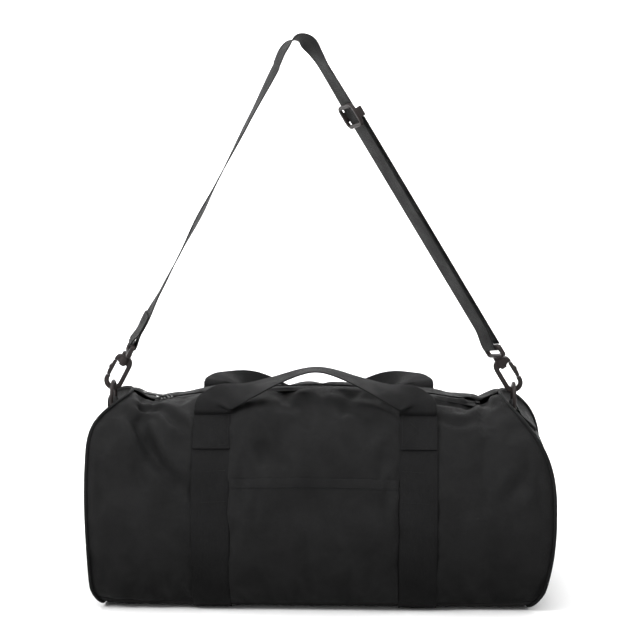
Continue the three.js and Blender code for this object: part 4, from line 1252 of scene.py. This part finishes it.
def eye_turn(end, first, count=13):
    """Webbing round a hook's eye, from one face of the bar to the other."""
    travel = -end * ALONG[end]
    across = across_at(travel, TWISTS[end][0][1])
    outward = -np.cross(travel, across)
    centre = on_strap(end, EYE_FROM_RING)
    turns = np.linspace(0, math.pi, count)
    places = [
        centre + EYE_OFF * (outward * first * math.cos(t) - ALONG[end] * math.sin(t)) for t in turns
    ]
    return places, [across] * count


def closing(wide, narrow, within):
    def off(far):
        return wide + (narrow - wide) * float(smooth((far - EYE_FROM_RING) / within))

    return off


def strap_object(name, runs):
    places = [p for run in runs for p in run[0]]
    turned = [a for run in runs for a in run[1]]
    return ribbon(name, places, turned, STRAP_WIDTH, STRAP_CLOTH, "strap")


def apex_run():
    knees = {end: on_strap(end, knee_from_ring(end)) for end in (-1, 1)}
    before = knees[-1] - ALONG[-1] * 30 * MM
    after = knees[1] - ALONG[1] * 30 * MM
    points = [before, knees[-1]] + [np.array([x * MM, 0, z * MM]) for x, z, _ in APEX]
    points += [knees[1], after]
    left, right = LEFT_TWIST[-1][1], RIGHT_TWIST[-1][1]
    twists = [left, left] + [t for _, _, t in APEX] + [right, right]
    path = spline(points, 8 * (len(points) - 1) + 1)
    turn = spline([(t, 0, 0) for t in twists], len(path))[:, 0]
    path, turn = path[9:-9], turn[9:-9]
    travel = directions(path, closed=False)
    return list(path), [across_at(t, w) for t, w in zip(travel, turn)]


SEWN_FOLD = 46 * MM
MIDDLE_BAR_OFF = 5 * MM  # the adjuster's middle bar, off the webbing


def add_strap():
    sewn_gap = (STRAP_CLOTH + 0.3 * MM) / 2
    left_off = closing(EYE_OFF, sewn_gap, 22 * MM)
    right_off = closing(EYE_OFF, 0, 30 * MM)
    near = EYE_FROM_RING + 2 * MM
    runs = [
        eye_turn(-1, 1),
        span(-1, -1, near, knee_from_ring(-1), 150, left_off),
        apex_run(),
        span(1, -1, knee_from_ring(1), near, 150, right_off),
        eye_turn(1, -1),
    ]
    main = strap_object("strap_webbing", runs)
    finish_piece(main, "strap", "webbing", "shoulder_strap")
    fold = span(-1, 1, EYE_FROM_RING + SEWN_FOLD, near, 24, left_off)
    piece = strap_object("strap_end_fold", [fold])
    finish_piece(piece, "strap", "webbing", "strap_sewn_end")
    return_end = ADJUSTER_FROM_RING - 6 * MM

    def return_off(far):
        share = (far - EYE_FROM_RING) / (return_end - EYE_FROM_RING)
        return EYE_OFF + (MIDDLE_BAR_OFF - EYE_OFF) * share

    back = span(1, 1, near, return_end, 90, return_off)
    piece = strap_object("strap_return_webbing", [back])
    finish_piece(piece, "strap", "webbing", "strap_return")
    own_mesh(piece)
    rows = []
    for back_along in (8 * MM, 14 * MM, SEWN_FOLD - 6 * MM):
        start = EYE_FROM_RING + SEWN_FOLD - back_along
        places, turned = span(-1, 1, start, near, 2, left_off)
        across = turned[0]
        outward = -np.cross(ALONG[-1], across)
        centre = places[0] + outward * (STRAP_CLOTH / 2)
        rows.append([(centre + across * u, outward) for u in np.linspace(-16 * MM, 16 * MM, 8)])
    finish_piece(stitches("strap_end_stitches", rows), "strap", "webbing")


def add_adjuster():
    refined("strap_adjuster", "plastic", "adjuster", "plastic")
    centre = on_strap(1, ADJUSTER_FROM_RING)
    across = across_at(-ALONG[1], twist_at(RIGHT_TWIST, centre[2]))
    outward = np.cross(ALONG[1], across)
    bar = centre + outward * MIDDLE_BAR_OFF
    deep, long, corner = 2.5 * MM, 4.2 * MM, 1.6 * MM
    path = []
    for quarter, (a, b) in enumerate(((1, 1), (-1, 1), (-1, -1), (1, -1))):
        for t in np.linspace(0, math.pi / 2, 5):
            angle = quarter * math.pi / 2 + t
            u = a * (deep - corner) + corner * math.cos(angle)
            v = b * (long - corner) + corner * math.sin(angle)
            path.append(bar + outward * u + ALONG[1] * v)
    loop = ribbon(
        "adjuster_loop_webbing", path, [across] * len(path), STRAP_WIDTH, STRAP_CLOTH, "strap", True
    )
    finish_piece(loop, "adjuster", "webbing", "adjuster_loop")


TAB_WIDTH = high("right_ring_tab")[1] - low("right_ring_tab")[1]
TAB_CLOTH = 1.6 * MM
TAB_OFF = 2.4 * MM  # the inner layer's middle, off the end panel
TAB_REACH = (34 * MM, 24 * MM, 15 * MM)  # under the ring's bar, where the tab lies on the panel


def on_end(end, z, off):
    """A point off the middle of an end panel at a height."""
    rim = np.array([[end.ear + 2.6 * MM, 0, END_TOP_Z]])
    share = (z - END_MIDDLE_Z) / (END_TOP_Z - END_MIDDLE_Z)
    at, above = (dome_ring(end, rim, s)[0] for s in (share, share + 0.02))
    up = unit(above - at)
    return at + off * end.sign * np.array([up[2], 0, -up[0]])


def add_rings_and_tabs():
    for end in ENDS:
        refined(f"{end.name}_ring", "plastic", f"{end.name}_ring_body", "plastic", 0.5 * MM)
        bar = np.array([end.sign * end.ring_x, 0, RING_BAR_Z])
        radius = RING_WIRE + 0.55 * MM + TAB_CLOTH / 2
        inner = [on_end(end, bar[2] - drop, TAB_OFF) for drop in TAB_REACH]
        outer = [on_end(end, bar[2] - drop, TAB_OFF + TAB_CLOTH + 0.35 * MM) for drop in TAB_REACH]
        down = inner[-1] - bar
        lean = math.atan2(end.sign * down[0] + radius, -down[2])
        turns = np.linspace(math.pi + lean, lean, 12)
        fold = [
            bar + radius * np.array([end.sign * math.cos(t), 0, math.sin(t)]) for t in turns
        ]
        path = spline(inner + fold + outer[::-1], 110)
        across = [(0, end.sign, 0)] * len(path)
        piece = ribbon(f"{end.name}_tab_webbing", path, across, TAB_WIDTH, TAB_CLOTH, "webbing")
        finish_piece(piece, "bag", "webbing", f"{end.name}_ring_tab")


def add_hooks():
    for name in ("left", "right"):
        refined(f"{name}_hook", "plastic", f"{name}_clip", "plastic")
        refined(f"{name}_gate", "plastic", f"{name}_gate_body", "plastic", 0.25 * MM)
        refined(f"{name}_hook_eye", "plastic", "strap", "plastic")


def add_gate_springs():
    """Each gate's leaf spring stands off the hook's shank: a copy of its CAD node, in spring steel.
    """
    for end in ENDS:
        node = f"{end.name}_gate_spring"
        piece = frame["nodes"][node].copy()
        piece.data = piece.data.copy()
        piece.parent = None
        piece.name = f"{end.name}_gate_leaf"
        link(piece)
        piece.data.materials.clear()
        piece.data.materials.append(LOOKS["metal"])
        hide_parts(node)
        middle = (low(node) + high(node)) / 2
        outward = end.sign * (high(node)[0] - low(node)[0]) / 2
        root, tip = middle.copy(), middle.copy()
        root[0] -= outward
        tip[0] += outward
        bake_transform(piece)


def finish_base_board():
    """The base's board is fine enough as it is, and gets its material here."""
    frame["nodes"]["base_board"].material_slots[0].material = LOOKS["board"]


add_camera()
add_studio()
cloth = add_bag_cloth()
add_ends()
add_piping()
add_pocket(cloth["front"])
add_bands()
add_handles()
add_band_stitches()
add_zip()
add_zip_ends()
add_mouth_stitches(cloth["front"], cloth["back"])
refined("zip_slider", "enamel", "zip_carriage", "enamel", 0.2 * MM)
refined("zip_pull", "enamel", "pull", "enamel", 0.2 * MM)
add_strap()
add_adjuster()
add_rings_and_tabs()
add_hooks()
add_gate_springs()
finish_base_board()
